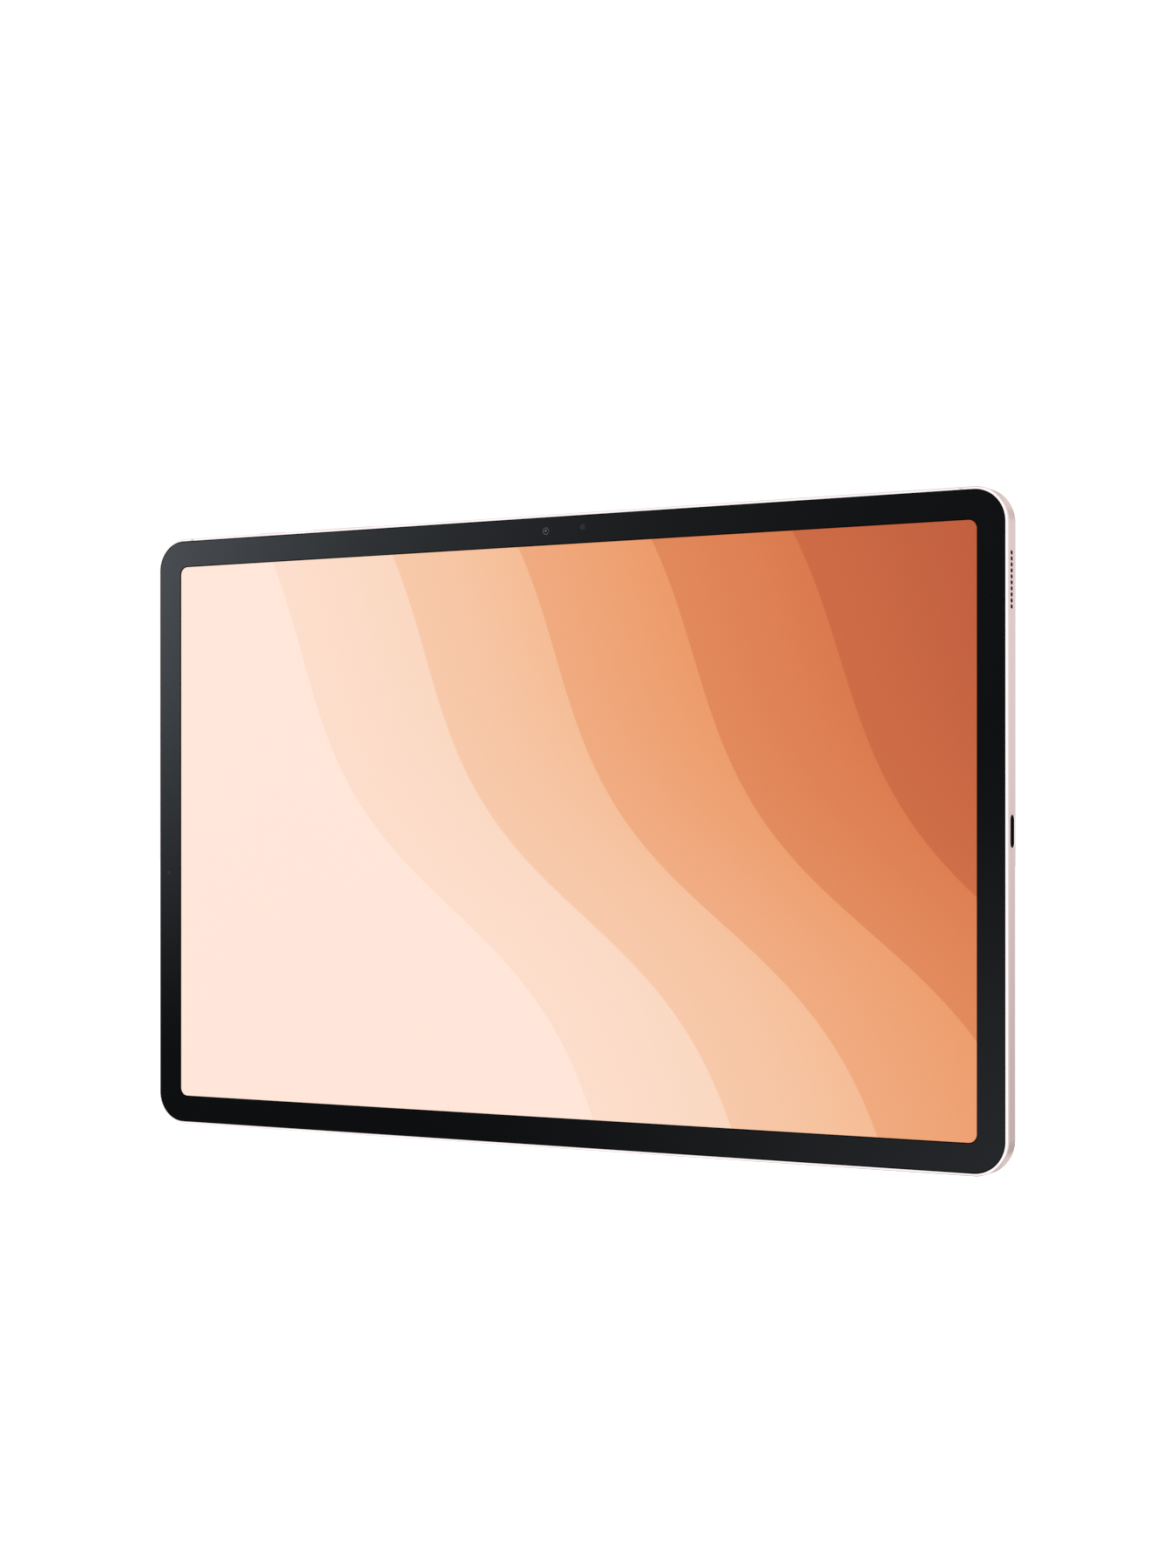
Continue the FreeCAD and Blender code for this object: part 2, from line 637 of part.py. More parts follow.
def lens_window():
    """The clear disc over the lens."""
    return disc("Y", WINDOW_DIAMETER, ISLAND_GLASS_SPAN, LENS)


def lens_ring():
    """The thin metal ring round the window."""
    ring = disc("Y", LENS_RING_OUTER, LENS_RING_SPAN, LENS)
    return ring.cut(disc("Y", WINDOW_DIAMETER, within(LENS_RING_SPAN, -OVERRUN), LENS))


def camera_module():
    """The rear camera's body, bored for the focusing barrel."""
    body = slab("Y", (CAMERA_SIZE, CAMERA_SIZE), CAMERA_CORNER, CAMERA_SPAN, LENS)
    bore = BARREL_DIAMETER + 2 * BARREL_CLEARANCE
    return body.cut(disc("Y", bore, (BARREL_BORE_START, 0.0), LENS))


def focus_barrel():
    """The lens barrel that slides to focus, dished at its front."""
    barrel = disc("Y", BARREL_DIAMETER, BARREL_SPAN, LENS)
    narrow, wide, height = BARREL_DISH
    bottom = Vector(LENS[0], BARREL_SPAN[1] - BARREL_DISH_DEPTH, LENS[1])
    dish = Part.makeCone(narrow / 2, wide / 2, height, bottom, Vector(0, 1, 0))
    return barrel.cut(dish)


# ---- Keys -------------------------------------------------------------------------------------
def key(x, length, flange_top):
    """A key cap with its stem and the flange that keeps it in the wall."""
    stem = pill("Z", (length, KEY_WIDTH), (flange_top - FLANGE_DEPTH, HALF_H + KEY_PROUD), (x, KEY_Y))
    stem = stem.makeFillet(KEY_EDGE, edges_at_height(stem, HALF_H + KEY_PROUD))
    flange_size = (length + 2 * FLANGE_END, KEY_WIDTH + 2 * FLANGE_SIDE)
    flange = pill("Z", flange_size, (flange_top - FLANGE_DEPTH, flange_top), (x, KEY_Y))
    return stem.fuse(flange).removeSplitter()


def key_switch(x, plunger_top):
    """A tactile switch under a key."""
    half_w, half_d = SWITCH_SIZE[0] / 2, SWITCH_SIZE[1] / 2
    body = block((x - half_w, x + half_w), (KEY_Y - half_d, KEY_Y + half_d), SWITCH_SPAN)
    plunger = disc("Z", PLUNGER_DIAMETER, (SWITCH_SPAN[1], plunger_top), (x, KEY_Y))
    return body.fuse(plunger)


def key_switches():
    """One switch for power and two for the volume rocker."""
    places = [(POWER_X, POWER_PLUNGER_TOP)]
    for side in (-1, 1):
        places.append((VOLUME_X + side * VOLUME_SWITCH_OFFSET, VOLUME_PLUNGER_TOP))
    return Part.makeCompound([key_switch(x, top) for x, top in places])


def key_bracket():
    """The folded sheet that backs the switches."""
    sheet = block(*BRACKET_BASE).fuse(block(*BRACKET_LEG)).removeSplitter()
    return sheet.cut([block(*BRACKET_NOTCH), *board_holes(BRACKET_SCREWS)])


# ---- Card tray --------------------------------------------------------------------------------
def tray_head():
    """The face of the tray, flush with the top edge, grooved for its seal."""
    centre = (TRAY_X, TRAY_Y)
    head = pill("Z", (TRAY_HEAD_LENGTH, TRAY_HEAD_WIDTH), (TRAY_HEAD_LOW, HALF_H), centre)
    band = pill("Z", (TRAY_HEAD_LENGTH + 1, TRAY_HEAD_WIDTH + 1), SEAL_SPAN, centre)
    core_size = (TRAY_HEAD_LENGTH - 2 * SEAL_GROOVE, TRAY_HEAD_WIDTH - 2 * SEAL_GROOVE)
    core = pill("Z", core_size, SEAL_SPAN, centre)
    return head.cut(band.cut(core))


def card_tray():
    """The tray with its two card pockets and the hole for the eject pin."""
    half = TRAY_PLATE_WIDTH / 2
    depth = (TRAY_Y - TRAY_PLATE_DEPTH / 2, TRAY_Y + TRAY_PLATE_DEPTH / 2)
    plate = block((TRAY_X - half, TRAY_X + half), depth, (TRAY_PLATE_LOW, TRAY_HEAD_LOW))
    tray = tray_head().fuse(plate)
    for width, length, middle in (MEMORY_CARD_POCKET, SIM_CARD_POCKET):
        pocket_depth = (depth[0] - OVERRUN, depth[1] - TRAY_POCKET_FLOOR)
        tray = tray.cut(slab("Y", (width, length), CARD_POCKET_CORNER, pocket_depth, (TRAY_X, middle)))
    through = (TRAY_HEAD_LOW - OVERRUN, HALF_H + OVERRUN)
    hole = disc("Z", EJECT_HOLE_DIAMETER, through, (EJECT_ROD_X, TRAY_Y))
    return tray.cut(hole).removeSplitter()


def tray_seal():
    """The rubber ring in the head's groove."""
    centre = (TRAY_X, TRAY_Y)
    outer_size = (TRAY_HEAD_LENGTH + 2 * SEAL_PROUD, TRAY_HEAD_WIDTH + 2 * SEAL_PROUD)
    outer = pill("Z", outer_size, SEAL_SPAN, centre)
    inner_size = (TRAY_HEAD_LENGTH - 2 * SEAL_GROOVE, TRAY_HEAD_WIDTH - 2 * SEAL_GROOVE)
    inner = pill("Z", inner_size, within(SEAL_SPAN, -OVERRUN), centre)
    return outer.cut(inner)


def tray_socket():
    """The cage on the board: a channel for the tray, one for the rod and a bay for the lever."""
    cage = block(SOCKET_X, SOCKET_Y, SOCKET_Z)
    half = TRAY_PLATE_WIDTH / 2 + SOCKET_SIDE_GAP
    up = SOCKET_Z[1] + OVERRUN
    channel = block((TRAY_X - half, TRAY_X + half), SOCKET_CHANNEL_Y, (SOCKET_CHANNEL_LOW, up))
    rod_half = EJECT_ROD_SIZE / 2 + EJECT_ROD_GAP
    rod_way = block(
        (EJECT_ROD_X - rod_half, EJECT_ROD_X + rod_half),
        (TRAY_Y - rod_half, TRAY_Y + rod_half),
        (LEVER_BAY[2][0], up),
    )
    pin_hole = disc("Y", LEVER_PIN_HOLE, LEVER_PIN_SPAN, LEVER_PIVOT)
    return cage.cut([channel, rod_way, block(*LEVER_BAY), pin_hole])


def eject_rod():
    """The square rod that the eject pin pushes."""
    half = EJECT_ROD_SIZE / 2
    x = (EJECT_ROD_X - half, EJECT_ROD_X + half)
    return block(x, (TRAY_Y - half, TRAY_Y + half), EJECT_ROD_SPAN)


def eject_lever():
    """The see-saw that turns the rod's push into a push on the tray."""
    size = (2 * LEVER_HALF_LENGTH, 2 * LEVER_HALF_WIDTH)
    bar = slab("Y", size, LEVER_CORNER, LEVER_SPAN, LEVER_PIVOT)
    return bar.cut(disc("Y", LEVER_BORE, within(LEVER_SPAN, -OVERRUN), LEVER_PIVOT))


# ---- USB-C ------------------------------------------------------------------------------------
def usb_shell():
    """The stainless sleeve of the socket."""
    centre = (USB_Y, 0.0)
    outer = pill("X", USB_SHELL, USB_SHELL_SPAN, centre)
    inner_size = (USB_SHELL[0] - 2 * USB_SHELL_WALL, USB_SHELL[1] - 2 * USB_SHELL_WALL)
    return outer.cut(pill("X", inner_size, within(USB_SHELL_SPAN, -OVERRUN), centre))


def usb_tongue():
    """The contact tongue and the block that closes the sleeve behind it."""
    size = (USB_SHELL[0] - 2 * USB_SHELL_WALL, USB_SHELL[1] - 2 * USB_SHELL_WALL)
    back = (USB_SHELL_SPAN[0], USB_SHELL_SPAN[0] + USB_BACK_WALL)
    return pill("X", size, back, (USB_Y, 0.0)).fuse(block(*USB_TONGUE)).removeSplitter()


def usb_board():
    """The small board that carries the socket."""
    height = (-USB_BOARD_HALF_H, USB_BOARD_HALF_H)
    board = block(USB_BOARD_X, (BOARD_FRONT, BOARD_BACK), height)
    return board.cut([block(*USB_BOARD_NOTCH), *board_holes(USB_SCREWS)])


# ---- Speakers ---------------------------------------------------------------------------------
def speaker_box():
    """The right speaker's sealed box, with its driver recess, sound channel and screw ears."""
    width, height = SPEAKER_X[1] - SPEAKER_X[0], SPEAKER_Z[1] - SPEAKER_Z[0]
    centre = (sum(SPEAKER_X) / 2, sum(SPEAKER_Z) / 2)
    box = slab("Y", (width, height), SPEAKER_CORNER, SPEAKER_Y, centre)
    ears = []
    for z in EAR_HEIGHTS:
        x = (SPEAKER_X[0] - EAR_REACH, SPEAKER_X[0] + SPEAKER_CORNER)
        ears.append(block(x, (BOARD_FRONT, BOARD_BACK), (z - EAR_HALF_HEIGHT, z + EAR_HALF_HEIGHT)))
    recess = pill("Y", DRIVER_SIZE, (SPEAKER_Y[0] - OVERRUN, DRIVER_RECESS_BACK), DRIVER)
    holes = board_holes([(SPEAKER_EAR_X, z) for z in EAR_HEIGHTS])
    return box.multiFuse(ears).cut([recess, block(*PORT_CHANNEL), *holes]).removeSplitter()


def speaker_cone():
    """The right speaker's stiff diaphragm."""
    return pill("Y", CONE_SIZE, CONE_SPAN, DRIVER)


def speaker_surround():
    """The rubber ring the diaphragm moves in."""
    ring = pill("Y", DRIVER_SIZE, SURROUND_SPAN, DRIVER)
    inner = (CONE_SIZE[0] + 2 * FIT, CONE_SIZE[1] + 2 * FIT)
    return ring.cut(pill("Y", inner, within(SURROUND_SPAN, -OVERRUN), DRIVER))


def speaker_magnet():
    """The magnet behind the diaphragm."""
    return slab("Y", DRIVER_MAGNET_SIZE, DRIVER_MAGNET_CORNER, DRIVER_MAGNET_SPAN, DRIVER)


def pair(shape):
    """A piece and its twin at the other end of the body."""
    return Part.makeCompound([shape, mirrored(shape)])


# ---- Boards, battery and small parts ----------------------------------------------------------
def main_board():
    """The main circuit board, with a tab under the card socket."""
    board = block(BOARD_X, (BOARD_FRONT, BOARD_BACK), BOARD_Z).fuse(block(*BOARD_TAB))
    return board.cut(board_holes(BOARD_SCREWS)).removeSplitter()


def shield(x, z, width, height):
    """A pressed metal can over part of the board."""
    can = slab("Y", (width, height), SHIELD_CORNER, (SHIELD_FRONT, BOARD_FRONT), (x, z))
    inner = (width - 2 * SHIELD_SHEET, height - 2 * SHIELD_SHEET)
    inner_span = (SHIELD_FRONT + SHIELD_SHEET, BOARD_FRONT + OVERRUN)
    hollow = slab("Y", inner, SHIELD_CORNER - SHIELD_SHEET, inner_span, (x, z))
    return can.cut(hollow)


def screw(x, z):
    """A small pan-head screw seated at the board's front."""
    shank = disc("Y", SCREW_SHANK, (BOARD_FRONT, BOARD_FRONT + SCREW_LENGTH), (x, z))
    head_front = BOARD_FRONT - SCREW_HEAD_DEPTH
    head = disc("Y", SCREW_HEAD, (head_front, BOARD_FRONT), (x, z))
    diameter, depth = SCREW_SOCKET
    recess = disc("Y", diameter, (head_front - OVERRUN, head_front + depth), (x, z))
    return head.fuse(shank).cut(recess)


def battery_cells():
    """Two flat pouch cells side by side."""
    middle = sum(CELL_Z) / 2
    size = (CELL_WIDTH, CELL_Z[1] - CELL_Z[0])
    cells = [
        slab("Y", size, CELL_CORNER, CELL_SPAN, (left + CELL_WIDTH / 2, middle))
        for left in CELL_LEFT_EDGES
    ]
    return Part.makeCompound(cells)


def battery_adhesive():
    """The pull-tab tape that holds each cell to the back wall."""
    tapes = []
    for left in CELL_LEFT_EDGES:
        x = within((left, left + CELL_WIDTH), BATTERY_GLUE_INSET)
        tapes.append(block(x, (CELL_SPAN[1], FLOOR), within(CELL_Z, BATTERY_GLUE_INSET)))
    return Part.makeCompound(tapes)


def dock_block():
    """The insulating block of the accessory contacts in the bottom edge."""
    body = pill("Z", DOCK_BLOCK, DOCK_BLOCK_SPAN, (0.0, KEY_Y))
    size = DOCK_CONTACT_DIAMETER + 2 * DOCK_CONTACT_GAP
    span = (DOCK_CONTACT_SPAN[0] - OVERRUN, DOCK_CONTACT_SPAN[1])
    return body.cut([disc("Z", size, span, (x, KEY_Y)) for x in DOCK_CONTACT_X])


def dock_contacts():
    """The gold contact pads."""
    pads = [disc("Z", DOCK_CONTACT_DIAMETER, DOCK_CONTACT_SPAN, (x, KEY_Y)) for x in DOCK_CONTACT_X]
    return Part.makeCompound(pads)


def microphones():
    """The two microphone capsules behind the top edge."""
    capsules = []
    for x in MICROPHONE_X:
        half_w, half_d = MICROPHONE_SIZE[0] / 2, MICROPHONE_SIZE[1] / 2
        depth = (KEY_Y - half_d, KEY_Y + half_d)
        capsules.append(block((x - half_w, x + half_w), depth, MICROPHONE_SPAN))
    return Part.makeCompound(capsules)


def microphone_meshes():
    """The dust meshes between the holes and the capsules."""
    discs = [disc("Z", MICROPHONE_MESH_DIAMETER, MICROPHONE_MESH_SPAN, (x, KEY_Y)) for x in MICROPHONE_X]
    return Part.makeCompound(discs)


def pen_strip_shape(gap, rise):
    """The pen strip's outline, grown by gap all round and standing rise above the back."""
    length = PEN_STRIP_X[1] - PEN_STRIP_X[0] + 2 * gap
    centre = (sum(PEN_STRIP_X) / 2, PEN_STRIP_Z)
    return pill("Y", (length, PEN_STRIP_WIDTH + 2 * gap), (-PEN_STRIP_DEPTH, rise), centre)


def pen_magnets():
    """Magnets that hold a pen against the strip."""
    bars = []
    for x in PEN_MAGNET_X:
        bars.append(slab("Y", PEN_MAGNET_SIZE, MAGNET_CORNER, PEN_MAGNET_SPAN, (x, PEN_STRIP_Z)))
    return Part.makeCompound(bars)


def cover_magnets():
    """Magnets that hold a cover or a keyboard."""
    bars = []
    for x, z, width, height in COVER_MAGNETS:
        bars.append(slab("Y", (width, height), MAGNET_CORNER, COVER_MAGNET_SPAN, (x, z)))
    return Part.makeCompound(bars)


def cable(route):
    """A thin round cable along straight runs."""
    points = [Vector(x, CABLE_Y, z) for x, z in route]
    pieces = []
    for start, end in zip(points, points[1:]):
        run = end - start
        pieces.append(Part.makeCylinder(CABLE_RADIUS, run.Length, start, run))
    for corner in points[1:-1]:
        pieces.append(Part.makeSphere(CABLE_RADIUS, corner))
    return joined(pieces)


def nodes():
    """Every piece of the tablet, by name."""
    housing = rear_housing()
    cutters = antenna_band_cutters()
    bands = [housing.common(cutter) for cutter in cutters]
    made = {
        "rear_housing": housing.cut(cutters),
        "antenna_bands": Part.makeCompound(bands),
        "cover_glass": cover_glass(),
        "border_print": border_print(),
        "glass_adhesive": glass_adhesive(),
        **display_layers(),
        "display_flex": ribbon((DRIVER_STRIP, DISPLAY_RIBBON, DISPLAY_PLUG)),
        "front_camera": front_camera(),
        "front_camera_lens": front_camera_lens(),
        "light_sensors": Part.makeCompound([sensor(LIGHT_SENSOR), sensor(SIDE_SENSOR)]),
        "front_flexes": blocks((FRONT_CAMERA_RIBBON, TOP_SENSOR_RIBBON, SIDE_SENSOR_RIBBON)),
        "camera_island": camera_island(),
        "island_glass": island_glass(),
        "lens_window": lens_window(),
        "lens_ring": lens_ring(),
        "camera_module": camera_module(),
        "focus_barrel": focus_barrel(),
        "camera_flex": ribbon(CAMERA_RIBBON),
        "power_button": key(POWER_X, POWER_LENGTH, POWER_FLANGE_TOP),
        "volume_key": key(VOLUME_X, VOLUME_LENGTH, VOLUME_FLANGE_TOP),
        "key_switches": key_switches(),
        "key_bracket": key_bracket(),
        "key_flex": ribbon(KEY_RIBBON),
        "card_tray": card_tray(),
        "tray_seal": tray_seal(),
        "tray_socket": tray_socket(),
        "eject_rod": eject_rod(),
        "eject_lever": eject_lever(),
        "lever_pin": disc("Y", LEVER_PIN, LEVER_PIN_SPAN, LEVER_PIVOT),
        "usb_shell": usb_shell(),
        "usb_tongue": usb_tongue(),
        "usb_board": usb_board(),
        "board_flexes": Part.makeCompound([ribbon(SIDE_RIBBON), ribbon(DOCK_RIBBON)]),
        "speaker_box_right": speaker_box(),
        "speaker_box_left": mirrored(speaker_box()),
        "speaker_cone_right": speaker_cone(),
        "speaker_cone_left": mirrored(speaker_cone()),
        "speaker_surrounds": pair(speaker_surround()),
        "speaker_magnets": pair(speaker_magnet()),
        "dust_meshes": Part.makeCompound([pair(block(*GRILLE_MESH)), microphone_meshes()]),
        "main_board": main_board(),
        "board_shields": Part.makeCompound([shield(*place) for place in SHIELDS]),
        "chips": blocks(CHIPS),
        "thermal_sheet": block(*THERMAL_SHEET),
        "battery_cells": battery_cells(),
        "battery_adhesive": battery_adhesive(),
        "battery_board": ribbon(BATTERY_BOARD),
        "dock_block": dock_block(),
        "dock_contacts": dock_contacts(),
        "microphones": microphones(),
        "pen_strip": pen_strip_shape(0.0, 0.0),
        "magnets": Part.makeCompound([pen_magnets(), cover_magnets()]),
        "antennas": blocks(ANTENNAS),
        "antenna_cables": Part.makeCompound([cable(LEFT_CABLE), cable(RIGHT_CABLE)]),
        "screws": Part.makeCompound([screw(x, z) for x, z, _ in screw_places()]),
    }
    return made


os.makedirs("parts", exist_ok=True)
for node_name, node_shape in nodes().items():
    node_shape.translate(Vector(0, BODY_DEPTH, 0))
    node_shape.exportStep(f"parts/{node_name}.step")
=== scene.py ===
import math

import bmesh
import bpy
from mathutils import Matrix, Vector


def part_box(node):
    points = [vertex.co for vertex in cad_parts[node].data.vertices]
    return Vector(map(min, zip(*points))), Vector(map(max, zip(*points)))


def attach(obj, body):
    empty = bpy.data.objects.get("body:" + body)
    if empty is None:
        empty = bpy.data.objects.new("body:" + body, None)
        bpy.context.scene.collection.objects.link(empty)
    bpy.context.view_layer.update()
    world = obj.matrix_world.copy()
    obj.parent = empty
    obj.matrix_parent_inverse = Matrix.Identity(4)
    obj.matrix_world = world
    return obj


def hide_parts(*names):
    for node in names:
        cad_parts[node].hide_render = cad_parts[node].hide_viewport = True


# The looks of a slate tablet computer. Metres, in the frame's own axes: +X right as the user
# faces the screen, +Y into the body, +Z up. The origin is the centre of the screen glass.

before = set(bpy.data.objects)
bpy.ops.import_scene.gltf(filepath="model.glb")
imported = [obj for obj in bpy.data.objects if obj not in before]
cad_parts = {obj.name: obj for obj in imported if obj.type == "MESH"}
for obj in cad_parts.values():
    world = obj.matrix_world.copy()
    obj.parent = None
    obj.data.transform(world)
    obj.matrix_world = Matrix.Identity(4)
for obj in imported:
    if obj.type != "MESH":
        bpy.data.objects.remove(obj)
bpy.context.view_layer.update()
MM = 0.001

BODY_LOW, BODY_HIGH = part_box("rear_housing")
BODY_SIZE = BODY_HIGH - BODY_LOW
BODY_CORNER = 9.9 * MM
WALL = 2.6 * MM
BACK_WALL = 0.9 * MM
BACK_ROUND = 1.0 * MM
GLASS_LOW, GLASS_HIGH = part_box("cover_glass")
GLASS_INSET = GLASS_LOW.x - BODY_LOW.x
LEDGE_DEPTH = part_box("display_cell")[0].y
VIEW_SIZE = (266.9 * MM, 166.95 * MM)
VIEW_CORNER = 2.4 * MM
CLEAR_MARGIN = 0.3 * MM
EDGE_SEAL = 0.25 * MM
CUT_SLOT = 2
OPTICAL_DEPTH = 0.2 * MM
LIT_REFLECTION = 0.1
CAMERA_HOLE = 1.15 * MM
SENSOR_HOLE = 0.92 * MM
SIDE_SENSOR_HOLE = 0.6 * MM
FRONT_CAMERA = (0.0, 87.7 * MM)
LIGHT_SENSOR = (12.46 * MM, 88.2 * MM)
SIDE_SENSOR = (-138.2 * MM, -13.1 * MM)
SMOOTH_LIMIT = math.radians(28)

FACING = {
    "X": lambda u, v, level: (level, u, v),
    "Y": lambda u, v, level: (u, level, v),
    "Z": lambda u, v, level: (u, v, level),
}


# ---- Node trees -------------------------------------------------------------------------------
class Wire:
    """A value in a node tree that can be used in ordinary sums."""

    def __init__(self, tree, socket):
        self.tree = tree
        self.socket = socket

    def math(self, operation, *others):
        node = self.tree.nodes.new("ShaderNodeMath")
        node.operation = operation
        for slot, value in zip(node.inputs, (self, *others)):
            plug(self.tree, value, slot)
        return Wire(self.tree, node.outputs[0])

    def __add__(self, other):
        return self.math("ADD", other)

    def __sub__(self, other):
        return self.math("SUBTRACT", other)

    def __mul__(self, other):
        return self.math("MULTIPLY", other)

    def __neg__(self):
        return self.math("MULTIPLY", -1.0)

    def sine(self):
        return self.math("SINE")

    def power(self, exponent):
        return self.math("POWER", exponent)

    def least(self, other):
        return self.math("MINIMUM", other)

    def most(self, other):
        return self.math("MAXIMUM", other)

    def below(self, limit):
        return self.math("LESS_THAN", limit)

    def ramp(self, low, high):
        """0 below low and 1 above high, smoothly between; low may be the greater."""
        node = self.tree.nodes.new("ShaderNodeMapRange")
        node.interpolation_type = "SMOOTHSTEP"
        for name, value in (("Value", self), ("From Min", low), ("From Max", high)):
            plug(self.tree, value, node.inputs[name])
        return Wire(self.tree, node.outputs[0])


def plug(tree, value, socket):
    """Joins a wire to a socket, or sets the socket's number or colour."""
    if isinstance(value, Wire):
        tree.links.new(value.socket, socket)
    elif hasattr(socket.default_value, "__len__") and len(value) < len(socket.default_value):
        socket.default_value = (*value, 1.0)
    else:
        socket.default_value = value


def make(tree, kind, output=0, settings=None, **inputs):
    """A node with its settings and inputs, as a wire from one output. Spaces in input names are _."""
    node = tree.nodes.new(kind)
    for name, value in (settings or {}).items():
        setattr(node, name, value)
    for name, value in inputs.items():
        plug(tree, value, node.inputs[name.replace("_", " ")])
    return Wire(tree, node.outputs[output])


def mix(tree, share, first, second):
    """A colour between two others."""
    node = tree.nodes.new("ShaderNodeMix")
    node.data_type = "RGBA"
    for slot, value in ((0, share), (6, first), (7, second)):
        plug(tree, value, node.inputs[slot])
    return Wire(tree, node.outputs[2])


def object_place(tree):
    """Where a point is, in metres, as a vector and as x, y and z."""
    place = make(tree, "ShaderNodeTexCoord", "Object")
    parts = tree.nodes.new("ShaderNodeSeparateXYZ")
    plug(tree, place, parts.inputs[0])
    return place, [Wire(tree, out) for out in parts.outputs]


def noise(tree, place, scale, detail):
    """Soft noise; scale is in waves per metre."""
    return make(tree, "ShaderNodeTexNoise", Vector=place, Scale=scale, Detail=detail)


def new_material(name):
    """An empty material with its output node."""
    material = bpy.data.materials.new(name)
    material.use_nodes = True
    material.node_tree.nodes.clear()
    output = material.node_tree.nodes.new("ShaderNodeOutputMaterial")
    return material, material.node_tree, output.inputs["Surface"]


def linear(red, green, blue):
    """A colour given as screen values from 0 to 255, as light."""
    shares = (red / 255, green / 255, blue / 255)
    return tuple(s / 12.92 if s <= 0.04045 else ((s + 0.055) / 1.055) ** 2.4 for s in shares)


# ---- Materials --------------------------------------------------------------------------------
def surface(name, colour, metallic, rough, grain, spread=0.05, bump=0.02, coat=0.0, specular=0.5):
    """A plain finish with fine grain: its colour, gloss and height all vary a little with it.

    A metal keeps its colour at glancing angles.
    """
    material, tree, out = new_material(name)
    place, _ = object_place(tree)
    fine = noise(tree, place, grain, 3.0)
    broad = noise(tree, place, grain / 40, 2.0)
    dark = tuple(c * (1 - spread) for c in colour)
    tint = mix(tree, fine * 0.5 + broad * 0.5, dark, colour)
    height = make(tree, "ShaderNodeBump", Height=fine, Strength=bump, Distance=0.02 * MM)
    shader = make(
        tree,
        "ShaderNodeBsdfPrincipled",
        Base_Color=tint,
        Metallic=metallic,
        Roughness=fine * (rough * 0.3) + rough * 0.85,
        Normal=height,
        Coat_Weight=coat,
        Specular_IOR_Level=specular,
        Specular_Tint=tuple(1 - (1 - c) * metallic for c in colour),
    )
    plug(tree, shader, out)
    return material


def brushed(name, colour, rough, stretch):
    """Rolled or turned metal: fine lines along one axis, with patches of duller metal."""
    material, tree, out = new_material(name)
    place, _ = object_place(tree)
    lines = make(tree, "ShaderNodeMapping", Vector=place, Scale=stretch)
    streak = noise(tree, lines, 900.0, 4.0)
    patch = noise(tree, place, 60.0, 2.0)
    dark = tuple(c * 0.82 for c in colour)
    height = make(tree, "ShaderNodeBump", Height=streak, Strength=0.06, Distance=0.02 * MM)
    shader = make(
        tree,
        "ShaderNodeBsdfPrincipled",
        Base_Color=mix(tree, streak, dark, colour),
        Metallic=1.0,
        Roughness=streak * 0.15 + patch * 0.15 + (rough - 0.1),
        Normal=height,
    )
    plug(tree, shader, out)
    return material


def clear_part(tree, tint, reflect):
    """A front that reflects a little and lets the rest through; backs let everything through."""
    facing = make(tree, "ShaderNodeNewGeometry", "Backfacing")
    fresnel = make(tree, "ShaderNodeFresnel", IOR=1.5)
    place, _ = object_place(tree)
    smudge = noise(tree, place, 35.0, 4.0)
    shine = make(tree, "ShaderNodeBsdfGlossy", Color=(1, 1, 1), Roughness=smudge * 0.02 + 0.004)
    through = make(tree, "ShaderNodeBsdfTransparent", Color=tint)
    return mixed(tree, fresnel * (-facing + 1.0) * reflect, through, shine)


def mixed(tree, share, first, second):
    """A shader between two others."""
    shader = tree.nodes.new("ShaderNodeMixShader")
    for slot, value in enumerate((share, first, second)):
        plug(tree, value, shader.inputs[slot])
    return Wire(tree, shader.outputs[0])


def clear_glass(name, tint, reflect=1.0):
    """Thin coated glass."""
    material, tree, out = new_material(name)
    plug(tree, clear_part(tree, tint, reflect), out)
    return material


def beyond(x, z, size, corner):
    """How far a point lies outside a round-cornered rectangle; negative inside it."""
    across = x.math("ABSOLUTE") - (size[0] / 2 - corner)
    along = z.math("ABSOLUTE") - (size[1] / 2 - corner)
    past = (across.most(0.0).power(2.0) + along.most(0.0).power(2.0)).power(0.5)
    return past + across.most(along).least(0.0) - corner


def from_spot(x, z, spot):
    """Distance from a point of the screen."""
    return ((x - spot[0]).power(2.0) + (z - spot[1]).power(2.0)).power(0.5)


